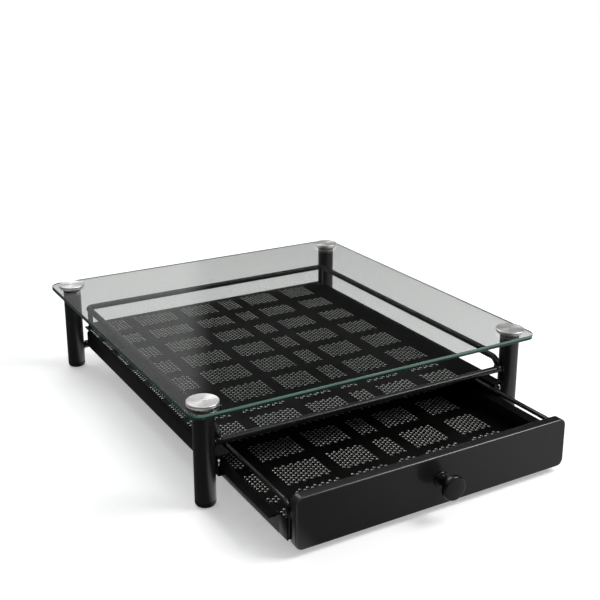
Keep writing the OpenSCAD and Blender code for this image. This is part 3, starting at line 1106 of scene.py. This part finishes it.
@dataclass(frozen=True)
class LegPlan:
    """Where the four legs stand."""

    half_x: float
    half_y: float
    mid_y: float
    radius: float
    foot_top: float
    tube_top: float

    @classmethod
    def read(cls) -> "LegPlan":
        """Reads the plan from the legs' boxes."""
        front, rear = Span.of("leg_front_left"), Span.of("leg_rear_left")
        return cls(
            half_x=-front.mid.x,
            half_y=(rear.mid.y - front.mid.y) / 2,
            mid_y=(rear.mid.y + front.mid.y) / 2,
            radius=front.size.x / 2,
            foot_top=front.lo.z,
            tube_top=front.hi.z,
        )

    def spot(self, name: str) -> Pair:
        """The axis of a named leg in the plan."""
        x = -self.half_x if "left" in name else self.half_x
        y = self.mid_y - self.half_y if "front" in name else self.mid_y + self.half_y
        return x, y


@dataclass
class GlassTop:
    """The tempered glass shelf, drilled at its corners."""

    plan: LegPlan
    corner: float = 10 * MM
    hole_radius: float = 4.5 * MM
    arris: float = 0.45 * MM

    def build(self, shop: Workshop) -> None:
        """Builds the sheet with its green edge."""
        box = Span.of("glass_top")
        loops = [rounded_loop(box.size.x, box.size.y, self.corner, (box.mid.x, box.mid.y))]
        loops += [circle_loop(self.plan.spot(n), self.hole_radius) for n in LEG_NAMES]
        sheet = plate("glass_sheet", loops, box.size.z, self.arris, 2)
        sheet.data.transform(Matrix.Translation((0, 0, box.lo.z)))
        sheet.data.materials.append(shop.finishes.of(Slot.GLASS))
        sheet.data.materials.append(shop.finishes.glass_edge())
        past_hole = self.hole_radius + 1 * MM
        reach, depth = self.plan.half_x + past_hole, self.plan.half_y + past_hole
        for face in sheet.data.polygons:
            outside = abs(face.center.x) > reach or abs(face.center.y - self.plan.mid_y) > depth
            if abs(face.normal.z) < 0.95 and outside:
                face.material_index = 1
        shop.place(sheet, Body.STAND, Slot.GLASS, ["glass_top"])


@dataclass
class CornerDiscs:
    """The spun discs that clamp the glass, with their studs, pads and washers."""

    plan: LegPlan
    edge: float = 0.5 * MM
    under_edge: float = 0.3 * MM
    crown: float = 0.03 * MM
    stud_seat: float = 1.4 * MM
    stud_radius: float = 3 * MM

    def build(self, shop: Workshop) -> None:
        """Turns each disc and dresses the small parts under it."""
        for name in LEG_NAMES:
            box = Span.of(f"cap_{name}")
            r, h, e, u = box.size.x / 2, box.size.z, self.edge, self.under_edge
            profile: Profile = [(0, self.stud_seat), (self.stud_radius, self.stud_seat)]
            profile += [(self.stud_radius, 0.0), *arc((r - u, u), u, -90, 0, 3)]
            profile += arc((r - e, h - e), e, 0, 90, 5)
            profile += [(r * 0.8, h + 0.02 * MM), (r * 0.5, h + self.crown), (0, h + self.crown)]
            disc = lathe(
                f"spun_disc_{name}", profile, (*self.plan.spot(name), box.lo.z), sharp=40
            )
            shop.place(disc, Body.STAND, Slot.SILVER, [f"cap_{name}"])
        shop.dress(Slot.ZINC, "cap_studs")
        shop.dress(Slot.WASHER, "leg_washers", "cap_pads")


@dataclass
class Legs:
    """Four enamelled tubes with plastic plugs for feet."""

    plan: LegPlan
    wall: float = 1.5 * MM
    lip: float = 0.35 * MM
    foot_round: float = 3 * MM
    foot_edge: float = 0.3 * MM
    foot_hollow: float = 0.4 * MM
    plug_reach: float = 11 * MM

    def build(self, shop: Workshop) -> None:
        """Turns the tubes and plugs and dresses the inserts."""
        low, high, r = self.plan.foot_top, self.plan.tube_top, self.plan.radius
        bore, lip, f, e = r - self.wall, self.lip, self.foot_round, self.foot_edge
        tube: Profile = [(bore, low), *arc((r - lip, low + lip), lip, -90, 0, 4)]
        tube += [*arc((r - lip, high - lip), lip, 0, 90, 4), (bore, high)]
        plug: Profile = [(0, self.foot_hollow), (r - f - 1 * MM, self.foot_hollow)]
        plug += [(r - f - 0.6 * MM, 0), *arc((r - f, f), f, -90, 0, 10)]
        plug += arc((r - e, low - e), e, 0, 90, 3)
        plug += [(bore, low), (bore, low + self.plug_reach), (0, low + self.plug_reach)]
        for name in LEG_NAMES:
            base = (*self.plan.spot(name), 0)
            leg = lathe(f"leg_tube_{name}", tube, base, closed=True)
            shop.place(leg, Body.STAND, Slot.TUBE, [f"leg_{name}"])
            foot = lathe(f"foot_plug_{name}", plug, base)
            shop.place(foot, Body.STAND, Slot.PLASTIC, [f"foot_{name}"])
            shop.dress(Slot.ZINC, f"insert_{name}")


@dataclass(frozen=True)
class PlaidPattern:
    """Fields of small holes between plain bands, like a woven basket, in millimetres."""

    columns: tuple[Pair, ...] = (
        (-141, -133), (-125, -102.5), (-92.5, -50.5), (-41, -5.5),
        (6.5, 23), (34.5, 67.5), (81.5, 112.5),
    )
    rows: tuple[Pair, ...] = (
        (-139.5, -118), (-108, -98), (-90, -61), (-48, -19),
        (-5.5, 22.5), (37, 63), (79.5, 102), (117.5, 144.5),
    )
    pitch_x: float = 6.9
    pitch_y: float = 2.12
    least_strip: float = 6.0
    rows_each_way: int = 75
    holes_each_way: int = 22

    def cuts(self, bands: Sequence[Pair], low: float, high: float) -> list[float]:
        """Where a sheet may be parted between fields without meeting a hole.

        Args:
            bands: The fields' reaches along one axis.
            low: The sheet's low edge.
            high: The sheet's high edge.

        Returns:
            The low edge, the middle of each plain band inside the sheet, and the high edge.
        """
        middles = [(a[1] + b[0]) / 2 for a, b in zip(bands, bands[1:])]
        inside = (m for m in middles if low + self.least_strip < m < high - self.least_strip)
        return [low, *inside, high]

    def holes(self, lo: Vector, hi: Vector, mid_y: float, margin: float) -> list[Point]:
        """Hole centres inside a rectangle.

        Args:
            lo: Low corner of the sheet in metres.
            hi: High corner of the sheet.
            mid_y: Where the pattern's own rows count from, in metres.
            margin: Least distance from a hole's centre to the sheet's edge, in metres.

        Returns:
            Points in metres with z 0.
        """
        found: list[Point] = []
        for j in range(-self.rows_each_way, self.rows_each_way):
            y = j * self.pitch_y
            if not any(a <= y <= b for a, b in self.rows):
                continue
            for i in range(-self.holes_each_way, self.holes_each_way + 1):
                x = i * self.pitch_x + (self.pitch_x / 2 if j % 2 else 0)
                if not any(a <= x <= b for a, b in self.columns):
                    continue
                px, py = x * MM, y * MM + mid_y
                if lo.x + margin < px < hi.x - margin and lo.y + margin < py < hi.y - margin:
                    found.append((px, py, 0.0))
        return found


@dataclass
class PunchedPanel:
    """A horizontal sheet with plaid punching and a pressed collar round each hole."""

    name: str
    node: str
    body: Body
    pattern: PlaidPattern
    row_zero: float
    hole_radius: float = 0.9 * MM
    crest_radius: float = 1.3 * MM
    collar_radius: float = 1.6 * MM
    collar_rise: float = 0.5 * MM
    collar_sink: float = 0.05 * MM
    sides: int = 10
    margin: float = 1.8 * MM

    def collar(self) -> Object:
        """One pressed collar, standing on z 0."""
        rise, crest, sink = self.collar_rise, self.crest_radius, self.collar_sink
        profile: Profile = [(self.collar_radius, -sink), (crest + 0.08 * MM, rise * 0.93)]
        profile += [(crest, rise), (self.hole_radius * 0.98, -sink)]
        return lathe(
            self.name + "_collar", profile, segments=self.sides, closed=True, sharp=70
        )

    def field(
        self, shop: Workshop, spots: Sequence[Point], across: Pair, along: Pair, level: Pair
    ) -> Object:
        """One rectangle of the sheet with its holes.

        Args:
            shop: The shared workshop.
            spots: Every hole of the sheet.
            across: The rectangle's reach in X.
            along: The rectangle's reach in Y.
            level: The sheet's underside and upper side.

        Returns:
            The rectangle as a closed block.
        """
        mid = ((across[0] + across[1]) / 2, (along[0] + along[1]) / 2)
        inside = [
            (x - mid[0], y - mid[1], 0.0)
            for x, y, _ in spots
            if across[0] < x < across[1] and along[0] < y < along[1]
        ]
        values = {
            "Width": across[1] - across[0],
            "Length": along[1] - along[0],
            "Middle": (*mid, level[0]),
            "Thickness": level[1] - level[0],
            "Radius": self.hole_radius,
            "Sides": self.sides,
            "Finish": shop.finishes.of(Slot.SHEET),
        }
        return shop.punched.run(f"{self.name}_field", inside, values)

    def build(
        self,
        shop: Workshop,
        lo: Vector,
        hi: Vector,
        clear: Callable[[Point], bool] = lambda spot: True,
    ) -> None:
        """Punches the sheet and spreads the collars.

        Args:
            shop: The shared workshop.
            lo: Low corner of the sheet in metres.
            hi: High corner of the sheet in metres.
            clear: Says whether a hole may go at a point.
        """
        plaid, zero = self.pattern, self.row_zero
        spots = [p for p in plaid.holes(lo, hi, zero, self.margin) if clear(p)]
        across = [c * MM for c in plaid.cuts(plaid.columns, lo.x / MM, hi.x / MM)]
        ends = (lo.y - zero) / MM, (hi.y - zero) / MM
        along = [c * MM + zero for c in plaid.cuts(plaid.rows, *ends)]
        fields = [
            self.field(shop, spots, x_reach, y_reach, (lo.z, hi.z))
            for x_reach in zip(across, across[1:])
            for y_reach in zip(along, along[1:])
        ]
        sheet = joined(self.name + "_sheet", fields)
        finish_mesh(sheet.data, 40.0, 2e-6, seams=True)
        sheet.data.materials.append(shop.finishes.of(Slot.SHEET))
        shop.place(sheet, self.body, Slot.SHEET, [self.node])
        half = (len(spots) + 1) // 2
        pitch = (plaid.pitch_x * MM, plaid.pitch_y * MM)
        # The collars' finish carries the painted crest highlight.
        rim = shop.finishes.painted_crest_highlight(self.name, zero, pitch, self.crest_radius)
        for label, group in (("a", spots[:half]), ("b", spots[half:])):
            raised: list[Spot] = [((x, y, hi.z), (0, 0, 1), 1.0) for x, y, _ in group]
            name = f"{self.name}_collars_{label}"
            shop.scatter(name, self.collar(), raised, self.body, Slot.SHEET, finish=rim)


@dataclass
class Shelf:
    """The plaid-punched shelf with the channels that carry it and the drawer."""

    plan: LegPlan
    pattern: PlaidPattern
    post_clearance: float = 5 * MM

    def build(self, shop: Workshop) -> None:
        """Builds the shelf sheet and dresses the channels."""
        box = Span.of("shelf_deck")
        posts = [Span.of(f"post_{name}").mid for _, name in SIDES]

        def clear(spot: Point) -> bool:
            """Whether a hole keeps away from the rear posts."""
            gaps = (math.hypot(spot[0] - p.x, spot[1] - p.y) for p in posts)
            return min(gaps) > self.post_clearance

        deck = PunchedPanel("shelf", "shelf_deck", Body.STAND, self.pattern, self.plan.mid_y)
        deck.build(shop, box.lo, box.hi, clear)
        shop.dress(Slot.SHEET, "channel_left", "channel_right", "stop_left", "stop_right")


@dataclass
class Fasteners:
    """Every visible screw head, repeated from one pattern part."""

    head_height: float = 1.8 * MM
    wide_height: float = 2.4 * MM
    channel_wall: float = 1.2 * MM
    inner_shift: float = 14 * MM
    spin: float = 1.4

    @staticmethod
    def screw_head(name: str, radius: float, height: float) -> Object:
        """A pan head with a cross recess, its seat on z 0.

        Args:
            name: The pattern part's name.
            radius: Radius of the head in metres.
            height: Height of the head in metres.

        Returns:
            The head, which points along +Z.
        """
        loops = [circle_loop((0, 0), radius, 28), cross_loop(radius * 0.52, radius * 0.13)]
        crown = plate(name, loops, height, min(0.45 * MM, height * 0.3), 2)
        wide, low, high = radius * 0.7, 0.02 * MM, height * 0.4
        base: Profile = [(0, low), (wide, low), (wide, high), (0, high)]
        return joined(name, [crown, lathe(name + "_base", base, segments=20)])

    def build(self, shop: Workshop) -> None:
        """Puts heads where the CAD screws are."""
        height = self.head_height
        channel, panel = Span.of("channel_screws"), Span.of("panel_screws")
        knob = Span.of("knob_screw")
        seat = Span.of("channel_right").hi.x - self.channel_wall
        reach = panel.hi.x - panel.size.z / 2
        inner = (reach + self.inner_shift) / 3
        sides = [((s * seat, channel.mid.y, channel.mid.z), (-s, 0, 0), 1.0) for s in (-1, 1)]
        panel_y, knob_y = panel.hi.y - height, knob.hi.y - self.wide_height
        row = [((x, panel_y, panel.mid.z), (0, 1, 0), 1.0) for x in (-reach, -inner, inner, reach)]
        middle = [((0, knob_y, knob.mid.z), (0, 1, 0), 1.0)]
        for node, name, box, tall, spots, body in (
            ("channel_screws", "channel_screw_heads", channel, height, sides, Body.STAND),
            ("panel_screws", "panel_screw_heads", panel, height, row, Body.DRAWER),
            ("knob_screw", "knob_screw_head", knob, self.wide_height, middle, Body.DRAWER),
        ):
            head = self.screw_head(name + "_pattern", box.size.z / 2, tall)
            shop.scatter(name, head, spots, body, Slot.ZINC, self.spin, [node])


@dataclass
class WireWork:
    """Guard rail, bars, posts and the tray's rim wire, with a weld bead at each joint."""

    plan: LegPlan
    rail_inset: float = 2.8
    rim_radius: float = 2.0
    sink: float = 0.25 * MM
    post_rise: float = 0.2 * MM

    def ring(self) -> Object:
        """A weld bead round a wire of radius 1 mm times its scale, standing on z 0."""
        steps = ((0.9, -0.1), (1.34, -0.1), (1.3, 0.1), (1.14, 0.24), (1.03, 0.44), (0.9, 0.46))
        profile = [(radius * MM, height * MM) for radius, height in steps]
        return lathe("bead", profile, segments=28, closed=True, sharp=80)

    def build(self, shop: Workshop) -> None:
        """Dresses the wires and adds the beads on each body."""
        shop.dress(Slot.WIRE, "guard_rail", "post_left", "post_right", "front_bar", "rear_bar")
        shop.dress(Slot.WIRE, "tray_rim", "rim_posts")
        stand: list[Spot] = []
        inner = self.plan.half_x - self.plan.radius + self.sink
        for name in ("front_bar", "rear_bar"):
            bar = Span.of(name)
            radius = bar.size.z / 2 / MM
            stand += [((s * inner, bar.mid.y, bar.mid.z), (-s, 0, 0), radius) for s in (-1, 1)]
        front, deck = Span.of("front_bar"), Span.of("shelf_deck")
        end = Span.of("guard_rail").hi.x - self.rail_inset * MM
        foot = front.hi.z - self.sink
        stand += [((s * end, front.mid.y, foot), (0, 0, 1), self.rail_inset) for s in (-1, 1)]
        for _, name in SIDES:
            post = Span.of(f"post_{name}")
            x, y, radius = post.mid.x, post.mid.y, post.size.x / 2 / MM
            stand.append(((x, y, deck.hi.z), (0, 0, 1), radius))
            stand.append(((x, y, post.hi.z + self.post_rise), (0, 0, -1), radius))
        shop.scatter("stand_weld_beads", self.ring(), stand, Body.STAND, Slot.WIRE)
        rim, posts, wire = Span.of("tray_rim"), Span.of("rim_posts"), self.rim_radius
        drawer: list[Spot] = []
        for s in (-1, 1):
            x = s * (rim.hi.x - wire * MM)
            drawer.append(((x, rim.lo.y + wire * MM, rim.lo.z), (0, 0, 1), wire))
            drawer.append(((x, posts.mid.y, posts.lo.z), (0, 0, 1), wire))
        shop.scatter("tray_weld_beads", self.ring(), drawer, Body.DRAWER, Slot.WIRE)


@dataclass
class FrontPanel:
    """The drawer's thick front with rounded corners and softened edges."""

    corner: float = 6 * MM
    edge: float = 1.3 * MM

    def build(self, shop: Workshop) -> None:
        """Builds the front, standing up in the XZ plane."""
        box = Span.of("front_panel")
        loop = rounded_loop(box.size.x, box.size.z, self.corner)
        front = plate("drawer_front", [loop], box.size.y, self.edge, 5)
        stand_up = Matrix.Rotation(math.radians(90), 4, "X")
        front.data.transform(Matrix.Translation((box.mid.x, box.hi.y, box.mid.z)) @ stand_up)
        shop.place(front, Body.DRAWER, Slot.PANEL, ["front_panel"])


@dataclass
class Knob:
    """A turned knob with a domed head, a waisted neck and a small rosette."""

    dome: float = 1.3 * MM
    head: float = 6.6 * MM
    neck_radius: float = 4 * MM
    bore: float = 2 * MM
    back_round: float = 2.3 * MM
    front_round: float = 1.9 * MM
    front_sweep: float = 62.0

    def outline(self, r: float, length: float) -> Profile:
        """The knob's profile from its seat to the top of its dome.

        Args:
            r: Radius of the head in metres.
            length: Distance from the seat to the top of the dome.

        Returns:
            Points of (radius, height).
        """
        n, back = self.neck_radius, length - self.head
        profile: Profile = [(0, 0), (n + 0.5 * MM, 0), (n + 0.2 * MM, 0.8 * MM)]
        profile += [(n - 0.2 * MM, back * 0.4), (n, back * 0.72)]
        profile += [(n + 0.9 * MM, back - 0.9 * MM), (n + 2.4 * MM, back - 0.15 * MM)]
        profile += arc((r - self.back_round, back + 2.2 * MM), self.back_round, -80, 0, 8)
        hub = (r - self.front_round, length - self.dome - 1.2 * MM)
        profile += arc(hub, self.front_round, 0, self.front_sweep, 7)
        flat, top = profile[-1]
        for i in range(1, 8):
            t = i / 7
            profile.append((flat * (1 - t), top + (length - top) * math.sin(t * math.pi / 2)))
        profile[-1] = (0, length)
        return profile

    def build(self, shop: Workshop) -> None:
        """Turns the knob and its rosette along -Y."""
        box, seat = Span.of("knob"), Span.of("knob_rosette")
        outline = self.outline(box.size.x / 2, box.size.y)
        knob = lathe("turned_knob", outline, (0, box.hi.y, box.mid.z), (0, -1, 0), sharp=50)
        shop.place(knob, Body.DRAWER, Slot.PLASTIC, ["knob"])
        r, h = seat.size.x / 2, seat.size.y
        ring: Profile = [(self.bore, 0), (r, 0), (r, h * 0.35)]
        ring += arc((r - h * 0.65, h * 0.35), h * 0.65, 0, 80, 6)
        ring += [(self.neck_radius + 0.6 * MM, h), (self.bore, h)]
        place = (0, seat.hi.y, seat.mid.z)
        plate_ring = lathe("knob_backplate", ring, place, (0, -1, 0), closed=True)
        shop.place(plate_ring, Body.DRAWER, Slot.PLASTIC, ["knob_rosette"])


@dataclass
class Tray:
    """The drawer's tray: punched floor, folded walls with lips, runners and bumpers."""

    pattern: PlaidPattern
    thickness: float = 1 * MM
    fold: float = 1.1 * MM
    sheet_edge: float = 0.3 * MM
    end_edge: float = 0.25 * MM
    glide_edge: float = 1.2 * MM
    flange_inset: float = 8 * MM
    lap: float = 0.02 * MM

    def build(self, shop: Workshop) -> None:
        """Builds the sheet parts, then the runners and bumpers."""
        floor, back, t = Span.of("tray_floor"), Span.of("tray_wall_back"), self.thickness
        lo = Vector((floor.lo.x, floor.lo.y + t, floor.lo.z))
        hi = Vector((floor.hi.x, floor.hi.y, floor.lo.z + t))
        middle = (lo.y + hi.y) / 2
        PunchedPanel("tray", "tray_floor", Body.DRAWER, self.pattern, middle).build(shop, lo, hi)
        half = Span.of("tray_rim").hi.x - self.flange_inset
        low, high = (-half, floor.lo.y, floor.lo.z), (half, floor.lo.y + t, floor.hi.z)
        flange = soft_box("tray_front_flange", low, high, self.sheet_edge)
        shop.place(flange, Body.DRAWER, Slot.SHEET)
        for side, name in SIDES:
            self.wall(shop, side, name)
        rear = soft_box("tray_back", back.lo, back.hi, self.sheet_edge)
        shop.place(rear, Body.DRAWER, Slot.SHEET, ["tray_wall_back"])
        self.bumpers(shop)

    def wall(self, shop: Workshop, side: int, name: str) -> None:
        """Adds one side wall with its lip, its runner and its glide block.

        Args:
            shop: The shared workshop.
            side: -1 for the left and 1 for the right.
            name: The side's name in the CAD nodes.
        """
        t, box = self.thickness, Span.of(f"tray_wall_{name}")
        strip = Span.of(f"slide_strip_{name}")
        outer, inner = (box.lo.x, box.hi.x) if side < 0 else (box.hi.x, box.lo.x)
        mid = inner + side * t / 2
        top = box.hi.z - t / 2
        path = [(mid, box.lo.z), (mid, top), (outer, top)]
        reach = max(box.lo.y, strip.lo.y), min(box.hi.y, strip.hi.y)
        pieces = [folded_strip(f"tray_side_{name}", path, t, self.fold, *reach)]
        low, high = mid - t / 2, mid + t / 2
        gaps = ((box.lo.y, strip.lo.y + self.lap), (strip.hi.y - self.lap, box.hi.y))
        for k, (a, b) in enumerate(gaps):
            if b - a > 1 * MM:
                ends = (low, a, box.lo.z), (high, b, box.hi.z)
                pieces.append(soft_box(f"end_{name}_{k}", *ends, self.end_edge))
        whole = joined(f"tray_side_{name}", pieces)
        shop.place(whole, Body.DRAWER, Slot.SHEET, [f"tray_wall_{name}"])
        for node, label, edge in (
            (f"slide_strip_{name}", "runner", self.sheet_edge),
            (f"glide_block_{name}", "glide", self.glide_edge),
        ):
            span = Span.of(node)
            block = soft_box(f"{label}_{name}", span.lo, span.hi, edge)
            shop.place(block, Body.DRAWER, Slot.NYLON, [node])

    def bumpers(self, shop: Workshop) -> None:
        """Adds the domed rubber bumpers on the back."""
        box = Span.of("tray_bumpers")
        r, h = box.size.z / 2, box.size.y
        profile: Profile = [(0, 0), (r, 0), (r, h * 0.3)]
        dome = [(math.cos(a), math.sin(a)) for a in (0.3, 0.6, 0.9, 1.2)]
        profile += [(r * c, h * 0.3 + h * 0.7 * s) for c, s in dome] + [(0, h)]
        bumper = lathe("bumper", profile, segments=32)
        spots = [((s * (box.hi.x - r), box.lo.y, box.mid.z), (0, 1, 0), 1.0) for s in (-1, 1)]
        name, nodes = "rubber_bumpers", ["tray_bumpers"]
        shop.scatter(name, bumper, spots, Body.DRAWER, Slot.RUBBER, replaces=nodes)


# ---------------------------------------------------------------------- studio


@dataclass(frozen=True)
class Softbox:
    """One rectangular lamp aimed at a point."""

    name: str
    place: Point
    target: Point
    width: float
    height: float
    power: float
    mirrored: bool = False

    def build(self) -> None:
        """Adds the lamp to the scene, seen in mirrors only where that is asked for."""
        data = bpy.data.lights.new(self.name, "AREA")
        data.shape = "RECTANGLE"
        data.size, data.size_y, data.energy = self.width, self.height, self.power
        lamp = linked(self.name, data)
        lamp.location = self.place
        aim = Vector(self.target) - Vector(self.place)
        lamp.rotation_euler = aim.to_track_quat("-Z", "Y").to_euler()
        lamp.visible_camera = False
        lamp.visible_transmission = False
        lamp.visible_glossy = self.mirrored


@dataclass
class Studio:
    """White sweep, soft lamps and the camera."""

    azimuth: float = -30.0
    elevation: float = 17.11
    lens: float = 59.875
    sensor: float = 36.0
    nearest: float = 0.01
    shift_y: float = -0.0667
    eye: Point = (-0.42757, -0.73554, 0.40684)
    ambient: float = 0.4
    sky_low: float = 0.015
    sky_left: float = 0.3
    sky_high: float = 0.7
    level_band: Pair = (0.1, 0.2)
    left_edge: Pair = (0.42, 0.46)
    high_band: Pair = (0.45, 0.75)
    floor_reach: float = 4.0
    floor_drop: float = 0.2 * MM
    floor_glow: float = 0.35
    far_glow: float = 0.6
    far_band: Pair = (0.35, 1.6)
    glow_behind_glass: float = 0.2
    mirror_left: float = 0.1
    mirror_right: float = 0.78
    mirror_fade: Pair = (-0.19, 0.2)
    mirror_strip: float = 0.9
    strip_left: Pair = (-0.15, -0.135)
    strip_right: Pair = (-0.118, -0.1)
    strip_front: Pair = (-0.34, -0.28)
    boxes: tuple[Softbox, ...] = (
        Softbox("top_softbox", (0.9, -0.62, 1.15), (0, 0, 0), 0.7, 0.8, 17.0, True),
        Softbox("high_rear_softbox", (0.0, 1.15, 1.4), (0, 0, 0), 0.9, 0.8, 7.0, True),
        Softbox("right_softbox", (0.95, -1.25, 0.32), (0, 0, 0.02), 0.25, 0.6, 3.0),
        Softbox("rear_left_softbox", (-0.5, 1.5, 0.9), (0, 0, 0.05), 0.5, 0.8, 2.5),
    )

    def world(self) -> None:
        """White to the eye and through glass, a soft dim room in reflections."""
        world = bpy.data.worlds.new("studio_world")
        world.use_nodes = True
        bpy.context.scene.world = world
        g = Graph(world.node_tree)
        across, ahead, height = g.parts(g.node("ShaderNodeTexCoord").outputs["Generated"])
        through = g.rays("Transmission")
        level_view = 1 - g.ramp(height, *self.level_band)
        seen = g.math("MAXIMUM", g.rays("Camera"), through * level_view)
        glossy = g.math("MAXIMUM", g.rays("Glossy"), through)
        depth = g.math("MAXIMUM", ahead, 0.001)
        left = 1 - g.ramp(across / depth, *self.left_edge)
        behind = g.math("GREATER_THAN", ahead, 0.0)
        low = self.sky_low + left * behind * (self.sky_left - self.sky_low)
        rise = g.ramp(height, *self.high_band)
        mirror = low * (1 - rise) + rise * self.sky_high
        level = self.ambient * (1 - glossy) + mirror * glossy
        strength = seen + (1 - seen) * level
        sky = g.node("ShaderNodeBackground", {"Color": rgb(1, 1, 1), "Strength": strength})
        g.node("ShaderNodeOutputWorld", {"Surface": sky})

    def floor(self) -> None:
        """A pale sweep that glows to the eye, keeps the shadow and mirrors as a graded card."""
        g = ShaderGraph("pale_sweep")
        tint = g.mix(g.noise(3.0), rgb(0.8, 0.8, 0.8), rgb(0.83, 0.83, 0.83))
        paper = g.principled(Base_Color=tint, Roughness=0.9, Specular_IOR_Level=0.1)
        direct, through = g.rays("Camera"), g.rays("Transmission")
        x, y, _ = g.split()
        far = g.ramp(g.math("SQRT", x * x + y * y), *self.far_band)
        reached = direct + through * self.glow_behind_glass
        shine = reached * (self.floor_glow + far * self.far_glow)
        strip = g.ramp(x, *self.strip_left) * (1 - g.ramp(x, *self.strip_right))
        strip = strip * g.ramp(y, *self.strip_front)
        fade = g.ramp(x, *self.mirror_fade)
        tone = self.mirror_left + fade * (self.mirror_right - self.mirror_left)
        glow, card = (
            g.node("ShaderNodeEmission", {"Color": rgb(1, 1, 1), "Strength": strength})
            for strength in (shine, tone + strip * self.mirror_strip)
        )
        lit = g.node("ShaderNodeAddShader", {0: paper, 1: glow})
        glossy = g.rays("Glossy") * (1 - g.math("MAXIMUM", direct, through))
        sweep = g.finish(g.node("ShaderNodeMixShader", {0: glossy, 1: lit, 2: card}))
        mesh = bpy.data.meshes.new("studio_floor")
        r, z = self.floor_reach, -self.floor_drop
        mesh.from_pydata([(-r, -r, z), (r, -r, z), (r, r, z), (-r, r, z)], [], [(0, 1, 2, 3)])
        mesh.materials.append(sweep)
        linked("studio_floor", mesh)

    def camera(self) -> None:
        """Adds the camera at the set angle."""
        data = bpy.data.cameras.new("studio_camera")
        data.lens, data.sensor_width, data.shift_y = self.lens, self.sensor, self.shift_y
        data.clip_start = self.nearest
        camera = linked("studio_camera", data)
        a, e = math.radians(self.azimuth), math.radians(self.elevation)
        back = Vector((math.sin(a) * math.cos(e), -math.cos(a) * math.cos(e), math.sin(e)))
        camera.location = self.eye
        camera.rotation_euler = (-back).to_track_quat("-Z", "Y").to_euler()
        bpy.context.scene.camera = camera

    def build(self) -> None:
        """Sets up the whole studio."""
        bpy.context.scene.view_settings.view_transform = "Standard"
        self.camera()
        self.world()
        self.floor()
        for box in self.boxes:
            box.build()


def main() -> None:
    """Builds every sub-assembly in order."""
    logging.basicConfig(level=logging.INFO, format="%(relativeCreated)6d %(name)s: %(message)s")
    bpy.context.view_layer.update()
    plan = LegPlan.read()
    shop = Workshop(Finishes(plan, Span.of("glass_top")))
    pattern = PlaidPattern()
    Studio().build()
    for assembly in (
        GlassTop(plan),
        CornerDiscs(plan),
        Legs(plan),
        Shelf(plan, pattern),
        WireWork(plan),
        Tray(pattern),
        FrontPanel(),
        Knob(),
        Fasteners(),
    ):
        LOG.info("building %s", type(assembly).__name__)
        assembly.build(shop)


if __name__ == "__main__":
    main()
